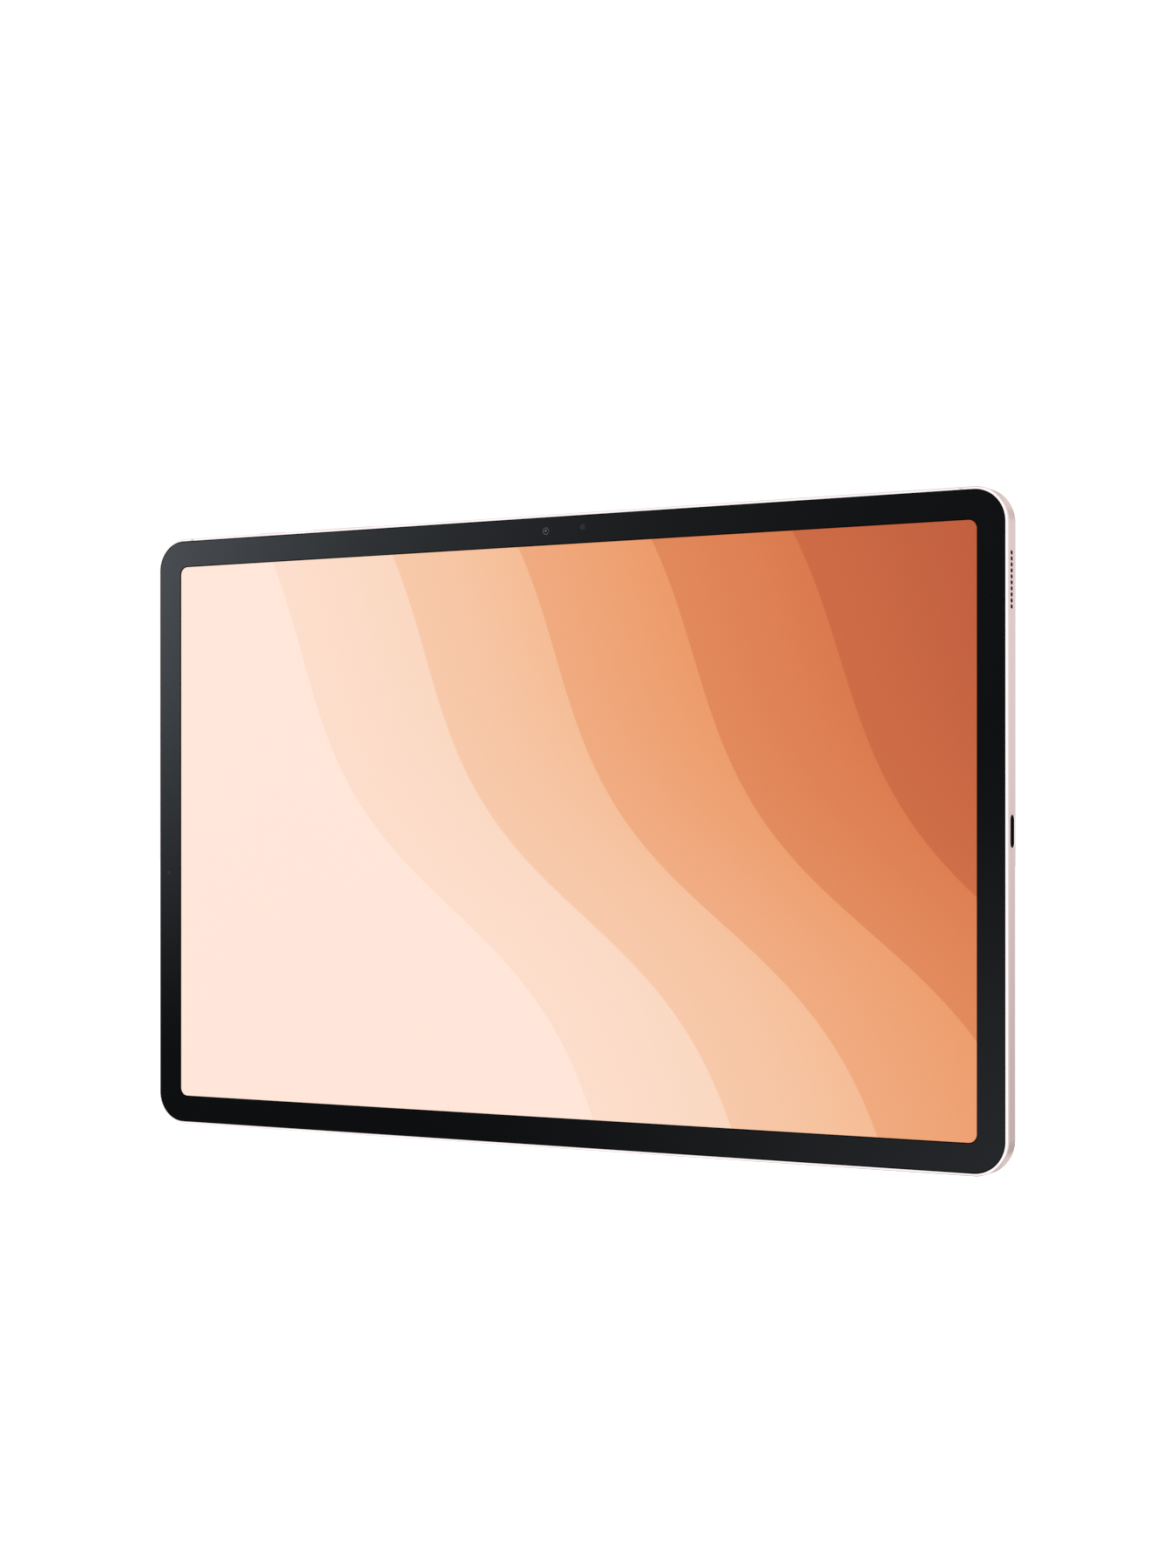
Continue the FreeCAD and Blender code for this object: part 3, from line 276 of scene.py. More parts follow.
def screen_glass_material():
    """The cover glass: clear over the lit area and the camera, black elsewhere.

    The sensor windows are a shade lighter, and the very edge of the glass is dull.
    """
    material, tree, out = new_material("screen_glass")
    place, (x, _, z) = object_place(tree)
    behind = make(tree, "ShaderNodeNewGeometry", "Backfacing")
    unlit = beyond(x, z, VIEW_SIZE, VIEW_CORNER)
    clear = unlit.below(CLEAR_MARGIN).most(from_spot(x, z, FRONT_CAMERA).below(CAMERA_HOLE))
    clear = clear.most(behind)
    sensor = from_spot(x, z, LIGHT_SENSOR).ramp(SENSOR_HOLE, SENSOR_HOLE * 0.9)
    sensor = sensor.most(from_spot(x, z, SIDE_SENSOR).ramp(SIDE_SENSOR_HOLE, SIDE_SENSOR_HOLE * 0.9))
    size = (GLASS_HIGH.x - GLASS_LOW.x, GLASS_HIGH.z - GLASS_LOW.z)
    edge = beyond(x, z, size, BODY_CORNER - GLASS_INSET).ramp(-EDGE_SEAL, -EDGE_SEAL * 0.6)
    smudge = noise(tree, place, 35.0, 4.0)
    black = mix(tree, smudge, (0.0005, 0.0005, 0.0006), (0.0010, 0.0010, 0.0011))
    ink = make(
        tree,
        "ShaderNodeBsdfPrincipled",
        Base_Color=mix(tree, sensor, black, (0.012, 0.0115, 0.0125)),
        Roughness=smudge * 0.03 + 0.02 + edge * 0.5,
        Specular_IOR_Level=(-edge + 1.0) * 0.5,
    )
    lit = clear_part(tree, (1, 1, 1), unlit.below(0.0) * LIT_REFLECTION)
    plug(tree, mixed(tree, clear, ink, lit), out)
    return material


def pcb(name):
    """Green circuit board with copper runs under the solder mask."""
    material, tree, out = new_material(name)
    place, (x, _, z) = object_place(tree)
    cells = make(
        tree, "ShaderNodeTexVoronoi", "Distance", {"distance": "MANHATTAN"}, Vector=place, Scale=420.0
    )
    runs = ((x + z) * 2600.0).sine().ramp(0.55, 0.8) * cells.ramp(0.3, 0.5)
    pads = cells.ramp(0.16, 0.1)
    green = mix(tree, runs, (0.008, 0.055, 0.03), (0.02, 0.13, 0.07))
    colour = mix(tree, pads, green, (0.75, 0.52, 0.2))
    shader = make(
        tree, "ShaderNodeBsdfPrincipled", Base_Color=colour, Metallic=pads * 0.9, Roughness=0.38
    )
    plug(tree, shader, out)
    return material


def woven(name, colour, pitch):
    """Fine cloth or mesh."""
    material, tree, out = new_material(name)
    _, (x, y, z) = object_place(tree)
    turn = 2 * math.pi / pitch
    along = ((y + x) * turn).sine()
    across = (z * turn).sine()
    thread = along.most(across).ramp(-0.2, 0.9)
    dark = tuple(c * 0.25 for c in colour)
    height = make(tree, "ShaderNodeBump", Height=thread, Strength=0.4, Distance=0.05 * MM)
    shader = make(
        tree,
        "ShaderNodeBsdfPrincipled",
        Base_Color=mix(tree, thread, dark, colour),
        Roughness=0.75,
        Normal=height,
    )
    plug(tree, shader, out)
    return material


def flex_film(name):
    """Amber polyimide film over copper tracks."""
    material, tree, out = new_material(name)
    place, (x, _, z) = object_place(tree)
    tracks = ((x - z) * 5200.0).sine().ramp(-0.1, 0.3)
    blotch = noise(tree, place, 90.0, 2.0)
    amber = mix(tree, blotch, (0.30, 0.13, 0.025), (0.42, 0.20, 0.04))
    colour = mix(tree, tracks * 0.6, amber, (0.62, 0.33, 0.12))
    shader = make(tree, "ShaderNodeBsdfPrincipled", Base_Color=colour, Roughness=0.3, Coat_Weight=0.4)
    plug(tree, shader, out)
    return material


# ---- The picture on the screen ----------------------------------------------------------------
PEACH = linear(254, 228, 215)
BAND_TONES = (
    linear(248, 212, 188),
    linear(243, 184, 142),
    linear(234, 148, 96),
    linear(214, 114, 66),
    linear(190, 88, 50),
)
BAND_TURN = math.radians(35)
FIRST_BAND = -40.0 * MM
BAND_STEP = 36.0 * MM
BAND_EDGE = 0.4 * MM
BAND_FADE = 60.0 * MM
EDGE_SHARE = 0.55
WAVE_LENGTH = 190.0 * MM
WAVE_DEPTH = 9.0 * MM
WAVE_LAG = 0.9


def picture_colour(tree):
    """Plain waved bands, evenly spaced across the screen, from peach to terracotta.

    Part of each tone comes in at the band's edge and the rest fades in behind it.
    """
    _, (x, _, z) = object_place(tree)
    along = x * math.cos(BAND_TURN) + z * math.sin(BAND_TURN)
    across = z * math.cos(BAND_TURN) - x * math.sin(BAND_TURN)
    colour = PEACH
    for number, tone in enumerate(BAND_TONES):
        wave = (across * (math.tau / WAVE_LENGTH) + number * WAVE_LAG).sine() * WAVE_DEPTH
        past = along + wave - (FIRST_BAND + number * BAND_STEP)
        edge = past.ramp(0.0, BAND_EDGE) * EDGE_SHARE
        fade = past.ramp(0.0, BAND_FADE) * (1 - EDGE_SHARE)
        colour = mix(tree, edge + fade, colour, tone)
    return colour


def screen_picture_material():
    """The lit panel: mostly its own light, with a little sheen of its own."""
    material, tree, out = new_material("screen_picture")
    colour = picture_colour(tree)
    shader = make(
        tree,
        "ShaderNodeBsdfPrincipled",
        Base_Color=(0.01, 0.01, 0.01),
        Roughness=0.5,
        Specular_IOR_Level=0.05,
        Emission_Color=colour,
        Emission_Strength=1.0,
    )
    plug(tree, shader, out)
    return material


PINK = (0.86, 0.74, 0.73)
MATERIALS = {
    "anodised": surface("anodised_pink", PINK, 1.0, 0.24, 9000.0, 0.04, 0.04),
    "cut_edge": surface("bright_cut_edge", (0.99, 0.94, 0.945), 1.0, 0.2, 9000.0, 0.03, 0.02),
    "key": surface("key_pink", (0.84, 0.73, 0.72), 1.0, 0.28, 9000.0, 0.04, 0.04),
    "band": surface("antenna_pink", (0.62, 0.53, 0.52), 0.0, 0.38, 5000.0, 0.06, 0.04),
    "strip": surface("pen_strip_pink", (0.78, 0.66, 0.65), 0.85, 0.22, 7000.0, 0.05, 0.02, 0.5),
    # painted shade: the walls of every hole cut in the shell are near-black and dull, standing in for
    # the shade inside the holes
    "bore": surface("bore_painted_shade", (0.008, 0.007, 0.007), 0.0, 0.7, 5000.0, 0.3, 0.05, 0.0, 0.2),
    "ink": surface("border_black", (0.001, 0.001, 0.0011), 0.0, 0.9, 3000.0, 0.2, 0.0, 0.0, 0.0),
    "black_plastic": surface("black_plastic", (0.02, 0.02, 0.022), 0.0, 0.35, 3500.0, 0.25, 0.08),
    "chip": surface("chip_black", (0.03, 0.03, 0.033), 0.0, 0.5, 6000.0, 0.3, 0.15),
    "rubber": surface("seal_rubber", (0.22, 0.16, 0.16), 0.0, 0.65, 5000.0, 0.2, 0.1),
    "seal": surface("seal_black", (0.004, 0.004, 0.004), 0.0, 0.8, 5000.0, 0.3, 0.05, 0.0, 0.1),
    "tape": surface("black_tape", (0.02, 0.02, 0.02), 0.0, 0.8, 4000.0, 0.3, 0.2),
    "guide": surface("light_guide", (0.85, 0.87, 0.89), 0.0, 0.25, 2500.0, 0.04, 0.02, 0.3),
    "film": surface("sensor_film", (0.08, 0.08, 0.09), 0.2, 0.4, 3000.0, 0.2, 0.05),
    "graphite": surface("graphite", (0.06, 0.06, 0.065), 0.6, 0.45, 2500.0, 0.3, 0.1),
    "pouch": surface("pouch_silver", (0.46, 0.47, 0.48), 0.7, 0.4, 900.0, 0.15, 0.3),
    "gold": brushed("contact_gold", (0.92, 0.68, 0.30), 0.22, (1, 1, 8)),
    "steel": brushed("bright_steel", (0.62, 0.62, 0.63), 0.30, (1, 8, 8)),
    # painted shade: the socket's steel shell is darkened to near-black, standing in for the shade deep
    # inside the port
    "painted_shade_steel": surface("painted_shade_steel", (0.012, 0.012, 0.013), 0.6, 0.5, 3000.0, 0.2, 0.05),
    "switch": brushed("switch_steel", (0.55, 0.55, 0.56), 0.28, (8, 8, 1)),
    "nickel": brushed("magnet_nickel", (0.50, 0.50, 0.52), 0.20, (8, 1, 1)),
    "board": pcb("board_green"),
    "flex": flex_film("flex_circuit"),
    "mesh": woven("mesh_black", (0.035, 0.035, 0.037), 0.18 * MM),
    "cone": woven("cone_fibre", (0.14, 0.14, 0.15), 0.6 * MM),
    "glass": screen_glass_material(),
    "lens_glass": clear_glass("lens_glass", (0.80, 0.84, 0.95), 1.6),
    "lens": surface("coated_lens", (0.015, 0.02, 0.05), 0.0, 0.05, 2000.0, 0.2, 0.0, 1.0),
    "front_lens": surface(
        "front_lens_black", (0.003, 0.003, 0.006), 0.0, 0.05, 2000.0, 0.2, 0.0, 0.0, 0.3
    ),
    # painted highlight: a plain white finish, lit like paint, standing in for the reflections on the
    # front lens
    "painted_highlight": surface("lens_painted_highlight", (0.75, 0.76, 0.80), 0.0, 0.3, 6000.0, 0.05, 0.0),
    "lens_rim": surface("lens_rim_grey", (0.055, 0.055, 0.056), 0.0, 0.5, 6000.0, 0.2, 0.03),
    "throat": surface("throat_black", (0.004, 0.004, 0.0045), 0.0, 0.7, 6000.0, 0.3, 0.05, 0.0, 0.1),
    "inlay": surface("island_black", (0.006, 0.006, 0.007), 0.0, 0.06, 3000.0, 0.2, 0.0, 0.6),
    "picture": screen_picture_material(),
}

CAD_FINISH = {
    "glass_adhesive": "tape",
    "backlight": "guide",
    "display_tray": "steel",
    "pen_sensor_sheet": "film",
    "display_flex": "flex",
    "front_camera": "black_plastic",
    "light_sensors": "chip",
    "front_flexes": "flex",
    "camera_island": "anodised",
    "island_glass": "inlay",
    "lens_window": "lens_glass",
    "lens_ring": "cut_edge",
    "camera_module": "black_plastic",
    "focus_barrel": "black_plastic",
    "camera_flex": "flex",
    "power_button": "key",
    "volume_key": "key",
    "key_switches": "switch",
    "key_bracket": "steel",
    "key_flex": "flex",
    "card_tray": "key",
    "tray_seal": "rubber",
    "tray_socket": "steel",
    "eject_rod": "switch",
    "eject_lever": "switch",
    "lever_pin": "switch",
    # the socket's shell is near-black as painted shade
    "usb_shell": "painted_shade_steel",
    "usb_tongue": "black_plastic",
    "usb_board": "board",
    "board_flexes": "flex",
    "speaker_box_right": "black_plastic",
    "speaker_box_left": "black_plastic",
    "speaker_cone_right": "cone",
    "speaker_cone_left": "cone",
    "speaker_surrounds": "rubber",
    "speaker_magnets": "nickel",
    "dust_meshes": "mesh",
    "main_board": "board",
    "board_shields": "steel",
    "chips": "chip",
    "thermal_sheet": "graphite",
    "battery_cells": "pouch",
    "battery_adhesive": "tape",
    "battery_board": "board",
    "dock_block": "black_plastic",
    "dock_contacts": "gold",
    "microphones": "switch",
    "magnets": "nickel",
    "antennas": "black_plastic",
    "antenna_cables": "black_plastic",
    "screws": "switch",
}


# ---- Mesh building ----------------------------------------------------------------------------
DOME_TIP = 0.01 * MM
DOME_STEPS = 10
DOME_RIM = 0.03 * MM


def outline(size, radius, inset, steps):
    """The points of a round-cornered rectangle, drawn inset from its edge."""
    right, top = size[0] / 2 - inset, size[1] / 2 - inset
    bend = max(radius - inset, 0.02 * MM)
    points = []
    for quarter, (x, y) in enumerate(((1, 1), (-1, 1), (-1, -1), (1, -1))):
        for step in range(steps + 1):
            angle = math.pi / 2 * (quarter + step / steps)
            centre_x, centre_y = x * (right - bend), y * (top - bend)
            points.append((centre_x + bend * math.cos(angle), centre_y + bend * math.sin(angle)))
    return points


def add_object(name, mesh_builder, materials):
    """Turns a bmesh into an object with its materials."""
    bmesh.ops.recalc_face_normals(mesh_builder, faces=mesh_builder.faces)
    mesh = bpy.data.meshes.new(name)
    mesh_builder.to_mesh(mesh)
    mesh_builder.free()
    for material in materials:
        mesh.materials.append(MATERIALS[material])
    piece = bpy.data.objects.new(name, mesh)
    bpy.context.scene.collection.objects.link(piece)
    return piece


def swept(name, facing, size, radius, profile, centre, materials, steps=24, paint=None, ring=False):
    """A solid whose edge section, a list of (inset, level), runs round a round-cornered rectangle."""
    builder = bmesh.new()
    place = FACING[facing]
    loops = []
    for inset, level in profile:
        points = outline(size, radius, inset, steps)
        loops.append([builder.verts.new(place(centre[0] + u, centre[1] + v, level)) for u, v in points])
    pairs = list(zip(loops, loops[1:]))
    if ring:
        pairs.append((loops[-1], loops[0]))
    for number, (near, far) in enumerate(pairs):
        for index in range(len(near)):
            after = (index + 1) % len(near)
            face = builder.faces.new((near[index], near[after], far[after], far[index]))
            face.material_index = (paint or {}).get(number, 0)
    if not ring:
        builder.faces.new(loops[0])
        builder.faces.new(loops[-1])
    return add_object(name, builder, materials)


def arc(centre, radius, start, end, steps):
    """Profile points on a round, as (inset, level); angles in degrees."""
    points = []
    for step in range(steps + 1):
        angle = math.radians(start + (end - start) * step / steps)
        points.append((centre[0] + radius * math.cos(angle), centre[1] + radius * math.sin(angle)))
    return points


def circles(builder, facing, centre, profile, steps):
    """Rings of points, one for each (radius, level)."""
    place = FACING[facing]
    loops = []
    for radius, level in profile:
        ring = []
        for step in range(steps):
            angle = 2 * math.pi * step / steps
            u = centre[0] + radius * math.cos(angle)
            ring.append(builder.verts.new(place(u, centre[1] + radius * math.sin(angle), level)))
        loops.append(ring)
    return loops


def join_loops(builder, near, far):
    """A strip of faces between two rings of points."""
    for index in range(len(near)):
        after = (index + 1) % len(near)
        builder.faces.new((near[index], near[after], far[after], far[index]))


def lathe(name, facing, centre, profile, material, steps=48):
    """A round solid from (radius, level) points, closed flat at both ends."""
    builder = bmesh.new()
    loops = circles(builder, facing, centre, profile, steps)
    for near, far in zip(loops, loops[1:]):
        join_loops(builder, near, far)
    builder.faces.new(loops[0])
    builder.faces.new(loops[-1])
    return add_object(name, builder, [material])


def lathe_ring(name, centre, section, material, steps=48):
    """A round ring facing forward, from a closed section of (radius, level) points."""
    builder = bmesh.new()
    loops = circles(builder, "Y", centre, section, steps)
    for near, far in zip(loops, [*loops[1:], loops[0]]):
        join_loops(builder, near, far)
    return add_object(name, builder, [material])


def dome(name, spot, radius, steepest, front, material):
    """A convex lens: its surface turns to the steepest angle, in degrees, at its edge."""
    edge = math.radians(steepest)
    bend = radius / math.sin(edge)
    profile = [(DOME_TIP, front)]
    for step in range(1, DOME_STEPS + 1):
        angle = edge * step / DOME_STEPS
        profile.append((bend * math.sin(angle), front + bend * (1 - math.cos(angle))))
    back = profile[-1][1] + DOME_RIM
    profile += [(radius, back), (DOME_TIP, back)]
    return lathe(name, "Y", spot, profile, material)


def baked(piece):
    """Applies the piece's modifiers to its mesh."""
    graph = bpy.context.evaluated_depsgraph_get()
    mesh = bpy.data.meshes.new_from_object(piece.evaluated_get(graph))
    piece.modifiers.clear()
    piece.data = mesh


def merged(name, pieces):
    """One object from several, each keeping its materials."""
    builder = bmesh.new()
    materials = []
    for piece in pieces:
        first = len(builder.faces)
        builder.from_mesh(piece.data)
        builder.faces.ensure_lookup_table()
        own = list(piece.data.materials)
        materials += [material for material in own if material not in materials]
        for face in builder.faces[first:]:
            face.material_index = materials.index(own[face.material_index])
    mesh = bpy.data.meshes.new(name)
    builder.to_mesh(mesh)
    builder.free()
    for material in materials:
        mesh.materials.append(material)
    result = bpy.data.objects.new(name, mesh)
    bpy.context.scene.collection.objects.link(result)
    for piece in pieces:
        bpy.data.objects.remove(piece)
    return result


def boolean(piece, tool, operation):
    """Cuts the piece with the tool, or keeps what they share."""
    modifier = piece.modifiers.new("cut", "BOOLEAN")
    modifier.object = tool
    modifier.operation = operation
    modifier.solver = "EXACT"
    modifier.material_mode = "TRANSFER"
    baked(piece)
    bpy.data.objects.remove(tool)


def shaded(piece):
    """Smooth shading that keeps real edges crisp and flat faces flat."""
    builder = bmesh.new()
    builder.from_mesh(piece.data)
    for face in builder.faces:
        face.smooth = True
    for edge in builder.edges:
        edge.smooth = len(edge.link_faces) == 2 and edge.calc_face_angle(0.0) < SMOOTH_LIMIT
    builder.to_mesh(piece.data)
    builder.free()
    weighted = piece.modifiers.new("weighted", "WEIGHTED_NORMAL")
    weighted.keep_sharp = True


def fitted(piece, body, slot, *nodes):
    """Shades a piece, lets it ride on a body and hides the CAD nodes it stands for."""
    shaded(piece)
    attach(piece, body)
    if nodes:
        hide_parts(*nodes)


def span_of(node, axis):
    """A node's lowest and highest place along one axis."""
    low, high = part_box(node)
    return getattr(low, axis), getattr(high, axis)


def centre_of(node):
    """The middle of a node's box."""
    low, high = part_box(node)
    return (low + high) / 2


# ---- Housing ----------------------------------------------------------------------------------
FRONT_CUT = 0.42 * MM
FRONT_CUT_SLOPE = 28
FRONT_ROUND = 0.7 * MM
SEAL_WIDTH = 0.12 * MM
KEY_GAP = 0.05 * MM
ROCKER_GAP = 0.1 * MM
GRILLE_HOLE = (1.6 * MM, 1.15 * MM)
GRILLE_PITCH = 1.6 * MM
GRILLE_COUNT = 10
GRILLE_LOW = 60.0 * MM
GRILLE_DEPTH = 2.6 * MM
USB_OPENING = (3.16 * MM, 8.94 * MM)
USB_BEVEL = 0.15 * MM
KEY_FLANGE = (1.8 * MM, 1.0 * MM)
MICROPHONE_HOLE = 0.5 * MM
MICROPHONE_MIDDLE = 1.8 * MM
ISLAND_OVERLAP = 2.3 * MM
CUT_PAST = 0.3 * MM
BAND_WIDTH = 1.2 * MM
BAND_REACH = 4.0 * MM
STRIP_RECESS = 0.25 * MM


def housing_profile():
    """The shell's section from its inner floor, over the glass pocket, round to the back face.

    A bright cut slopes away from the glass and runs smoothly into the round of the wall.
    """
    pocket = GLASS_INSET - SEAL_WIDTH
    wall_back = BODY_SIZE.y - BACK_ROUND
    slope = math.radians(FRONT_CUT_SLOPE)
    cut_start = FRONT_CUT * math.tan(slope)
    round_start = cut_start + FRONT_ROUND * math.cos(slope)
    section = [
        (WALL, BODY_HIGH.y - BACK_WALL),
        (WALL, LEDGE_DEPTH),
        (pocket, LEDGE_DEPTH),
        (pocket, 0.0),
    ]
    section += arc((FRONT_ROUND, round_start), FRONT_ROUND, 270 - FRONT_CUT_SLOPE, 180, 12)
    section += arc((BACK_ROUND, wall_back), BACK_ROUND, 180, 90, 12)
    section.append((BACK_ROUND + 0.6 * MM, BODY_HIGH.y))
    return section


def pill(name, facing, size, span, centre):
    """A plain cutter with half-round ends."""
    ends = [(0, span[0]), (0, span[1])]
    return swept(name, facing, size, min(size) / 2, ends, centre, ["bore"], 16)


def usb_cutter(inner_end):
    """The socket's opening, with a fine bright bevel round its mouth."""
    bevel = [(0.0, BODY_HIGH.x - USB_BEVEL), (-2 * USB_BEVEL, BODY_HIGH.x + USB_BEVEL)]
    profile = [(0.0, inner_end), *bevel]
    middle = (centre_of("usb_shell").y, 0.0)
    # the opening's walls take the near-black bore finish as painted shade; the bevel is bright cut
    # metal
    materials = ["bore", "cut_edge"]
    radius = USB_OPENING[0] / 2
    return swept("usb_slot", "X", USB_OPENING, radius, profile, middle, materials, 16, {1: 1})


def housing_cutters():
    """Everything cut out of the shell. The cutters' near-black faces become the hole walls, as painted
    shade inside the holes.
    """
    top = (BODY_HIGH.z - WALL - CUT_PAST, BODY_HIGH.z + MM)
    bottom = (BODY_LOW.z - MM, BODY_LOW.z + WALL + CUT_PAST)
    right = (BODY_HIGH.x - WALL - CUT_PAST, BODY_HIGH.x + MM)
    left = (BODY_LOW.x - MM, BODY_LOW.x + WALL + CUT_PAST)
    power, volume = centre_of("power_button"), centre_of("volume_key")
    tray, dock = centre_of("card_tray"), centre_of("dock_block")
    low, high = span_of("power_button", "y")
    key_width = high - low - KEY_FLANGE[1]
    cutters = []
    for node, gap, name, spot in (
        ("power_button", KEY_GAP, "power_slot", power),
        ("volume_key", ROCKER_GAP, "volume_slot", volume),
    ):
        low, high = span_of(node, "x")
        size = (high - low - KEY_FLANGE[0] + 2 * gap, key_width + 2 * gap)
        cutters.append(pill(name, "Z", size, top, (spot.x, spot.y)))
    low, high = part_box("card_tray")
    size = (high.x - low.x + 2 * KEY_GAP, high.y - low.y + 2 * KEY_GAP)
    cutters.append(pill("tray_slot", "Z", size, top, (tray.x, tray.y)))
    low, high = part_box("dock_block")
    size = (high.x - low.x + 2 * KEY_GAP, high.y - low.y + 2 * KEY_GAP)
    cutters.append(pill("dock_slot", "Z", size, bottom, (dock.x, dock.y)))
    cutters.append(usb_cutter(right[0]))
    for index in range(GRILLE_COUNT):
        spot = (GRILLE_DEPTH, GRILLE_LOW + index * GRILLE_PITCH)
        for side, span in (("right", right), ("left", left)):
            cutters.append(pill(f"grille_{side}_{index}", "X", GRILLE_HOLE, span, spot))
    low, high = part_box("microphones")
    for index, x in enumerate((low.x + MICROPHONE_MIDDLE, high.x - MICROPHONE_MIDDLE)):
        spot = (x, (low.y + high.y) / 2)
        ends = [(MICROPHONE_HOLE, top[0]), (MICROPHONE_HOLE, top[1])]
        cutters.append(lathe(f"microphone_hole_{index}", "Z", spot, ends, "bore", 20))
    back = (BODY_HIGH.y - BACK_WALL - 0.5 * MM, BODY_HIGH.y + MM)
    low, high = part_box("camera_island")
    spot = centre_of("camera_island")
    size = (high.x - low.x - ISLAND_OVERLAP, high.z - low.z - ISLAND_OVERLAP)
    cutters.append(pill("island_slot", "Y", size, back, (spot.x, spot.z)))
    low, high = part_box("pen_strip")
    spot = centre_of("pen_strip")
    size = (high.x - low.x + 2 * KEY_GAP, high.z - low.z + 2 * KEY_GAP)
    bed = (BODY_HIGH.y - STRIP_RECESS, BODY_HIGH.y + MM)
    cutters.append(pill("strip_bed", "Y", size, bed, (spot.x, spot.z)))
    return merged("housing_cutters", cutters)


def band_tool():
    """The slices that the antenna bands fill."""
    low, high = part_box("antenna_bands")
    slices = []
    for name, x in (("left", low.x + BAND_WIDTH / 2), ("right", high.x - BAND_WIDTH / 2)):
        middle = (x, BODY_HIGH.z - BAND_REACH / 2 + MM / 2)
        size = (BAND_WIDTH, BAND_REACH + MM)
        ends = [(0, -MM), (0, BODY_HIGH.y + MM)]
        slices.append(swept(f"slice_{name}", "Y", size, 0.01 * MM, ends, middle, ["band"], 1))
    return merged("band_slices", slices)


def build_housing():
    """The aluminium shell and the two plastic bands let into it."""
    profile = housing_profile()
    size = (BODY_SIZE.x, BODY_SIZE.z)
    # the middle finish is the near-black bore, the painted shade the cutters leave on the hole walls
    materials = ["anodised", "bore", "cut_edge"]
    bright = dict.fromkeys(range(3, 7), CUT_SLOT)
    shell = swept("housing", "Y", size, BODY_CORNER, profile, (0.0, 0.0), materials, 40, bright)
    bands = shell.copy()
    bands.data = shell.data.copy()
    bands.name = "antenna_band_pair"
    bpy.context.scene.collection.objects.link(bands)
    boolean(bands, band_tool(), "INTERSECT")
    bands.data.materials.clear()
    bands.data.materials.append(MATERIALS["band"])
    for face in bands.data.polygons:
        face.material_index = 0
    boolean(shell, band_tool(), "DIFFERENCE")
    boolean(shell, housing_cutters(), "DIFFERENCE")
    fitted(shell, "tablet", "anodised_pink", "rear_housing")
    fitted(bands, "tablet", "antenna_pink", "antenna_bands")


# ---- Screen -----------------------------------------------------------------------------------
GLASS_EDGE = 0.15 * MM
PRINT_INSET = 0.1 * MM
LAYER_GAP = 0.02 * MM


def build_glass():
    """The cover glass, softly rounded along its front edge."""
    size = (GLASS_HIGH.x - GLASS_LOW.x, GLASS_HIGH.z - GLASS_LOW.z)
    edge = arc((GLASS_EDGE, GLASS_EDGE), GLASS_EDGE, 270, 180, 6)
    # a narrow ring beside the round keeps its bent shading off the flat front
    flat = [(GLASS_EDGE + MM, 0.0), (GLASS_EDGE + 0.01 * MM, 0.0)]
    profile = [*flat, *edge, (0.0, GLASS_HIGH.y)]
    radius = BODY_CORNER - GLASS_INSET
    glass = swept("screen_glass", "Y", size, radius, profile, (0.0, 0.0), ["glass"], 40)
    fitted(glass, "tablet", "cover_glass", "cover_glass")


def build_seal():
    """The thin black seal between the glass and the metal."""
    outer = GLASS_INSET - SEAL_WIDTH + 0.005 * MM
    inner = GLASS_INSET - 0.005 * MM
    front, back = 0.03 * MM, LEDGE_DEPTH - 0.02 * MM
    section = [(outer, front), (inner, front), (inner, back), (outer, back)]
    size = (BODY_SIZE.x, BODY_SIZE.z)
    seal = swept("glass_seal", "Y", size, BODY_CORNER, section, (0.0, 0.0), ["seal"], 40, ring=True)
    fitted(seal, "tablet", "border_black")


def build_border():
    """The black print, open over the lit area, the camera and the sensors."""
    low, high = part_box("border_print")
    span = (OPTICAL_DEPTH, OPTICAL_DEPTH + high.y - low.y)
    size = (high.x - low.x, high.z - low.z)
    radius = BODY_CORNER - GLASS_INSET - PRINT_INSET
    ends = [(0.0, span[0]), (0.0, span[1])]
    border = swept("screen_border", "Y", size, radius, ends, (0.0, 0.0), ["ink"], 40)
    through = [(0.0, span[0] - MM), (0.0, span[1] + MM)]
    view = swept("view_tool", "Y", VIEW_SIZE, VIEW_CORNER, through, (0.0, 0.0), ["ink"], 16)
    holes = [view]
    for name, spot, radius in (
        ("camera_tool", FRONT_CAMERA, CAMERA_HOLE),
        ("sensor_tool", LIGHT_SENSOR, SENSOR_HOLE),
        ("side_sensor_tool", SIDE_SENSOR, SIDE_SENSOR_HOLE),
    ):
        ends = [(radius, span[0] - MM), (radius, span[1] + MM)]
        holes.append(lathe(name, "Y", spot, ends, "ink", 40))
    boolean(border, merged("border_tools", holes), "DIFFERENCE")
    fitted(border, "tablet", "border_black", "border_print")


def build_picture():
    """The bonded, lit panel."""
    low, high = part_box("display_cell")
    front = OPTICAL_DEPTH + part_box("optical_bond")[0].y - GLASS_HIGH.y + LAYER_GAP
    size = (high.x - low.x, high.z - low.z)
    ends = [(0.0, front), (0.0, high.y)]
    panel = swept("screen_panel", "Y", size, VIEW_CORNER, ends, (0.0, 0.0), ["picture"], 8)
    fitted(panel, "tablet", "display_panel", "display_cell", "optical_bond")


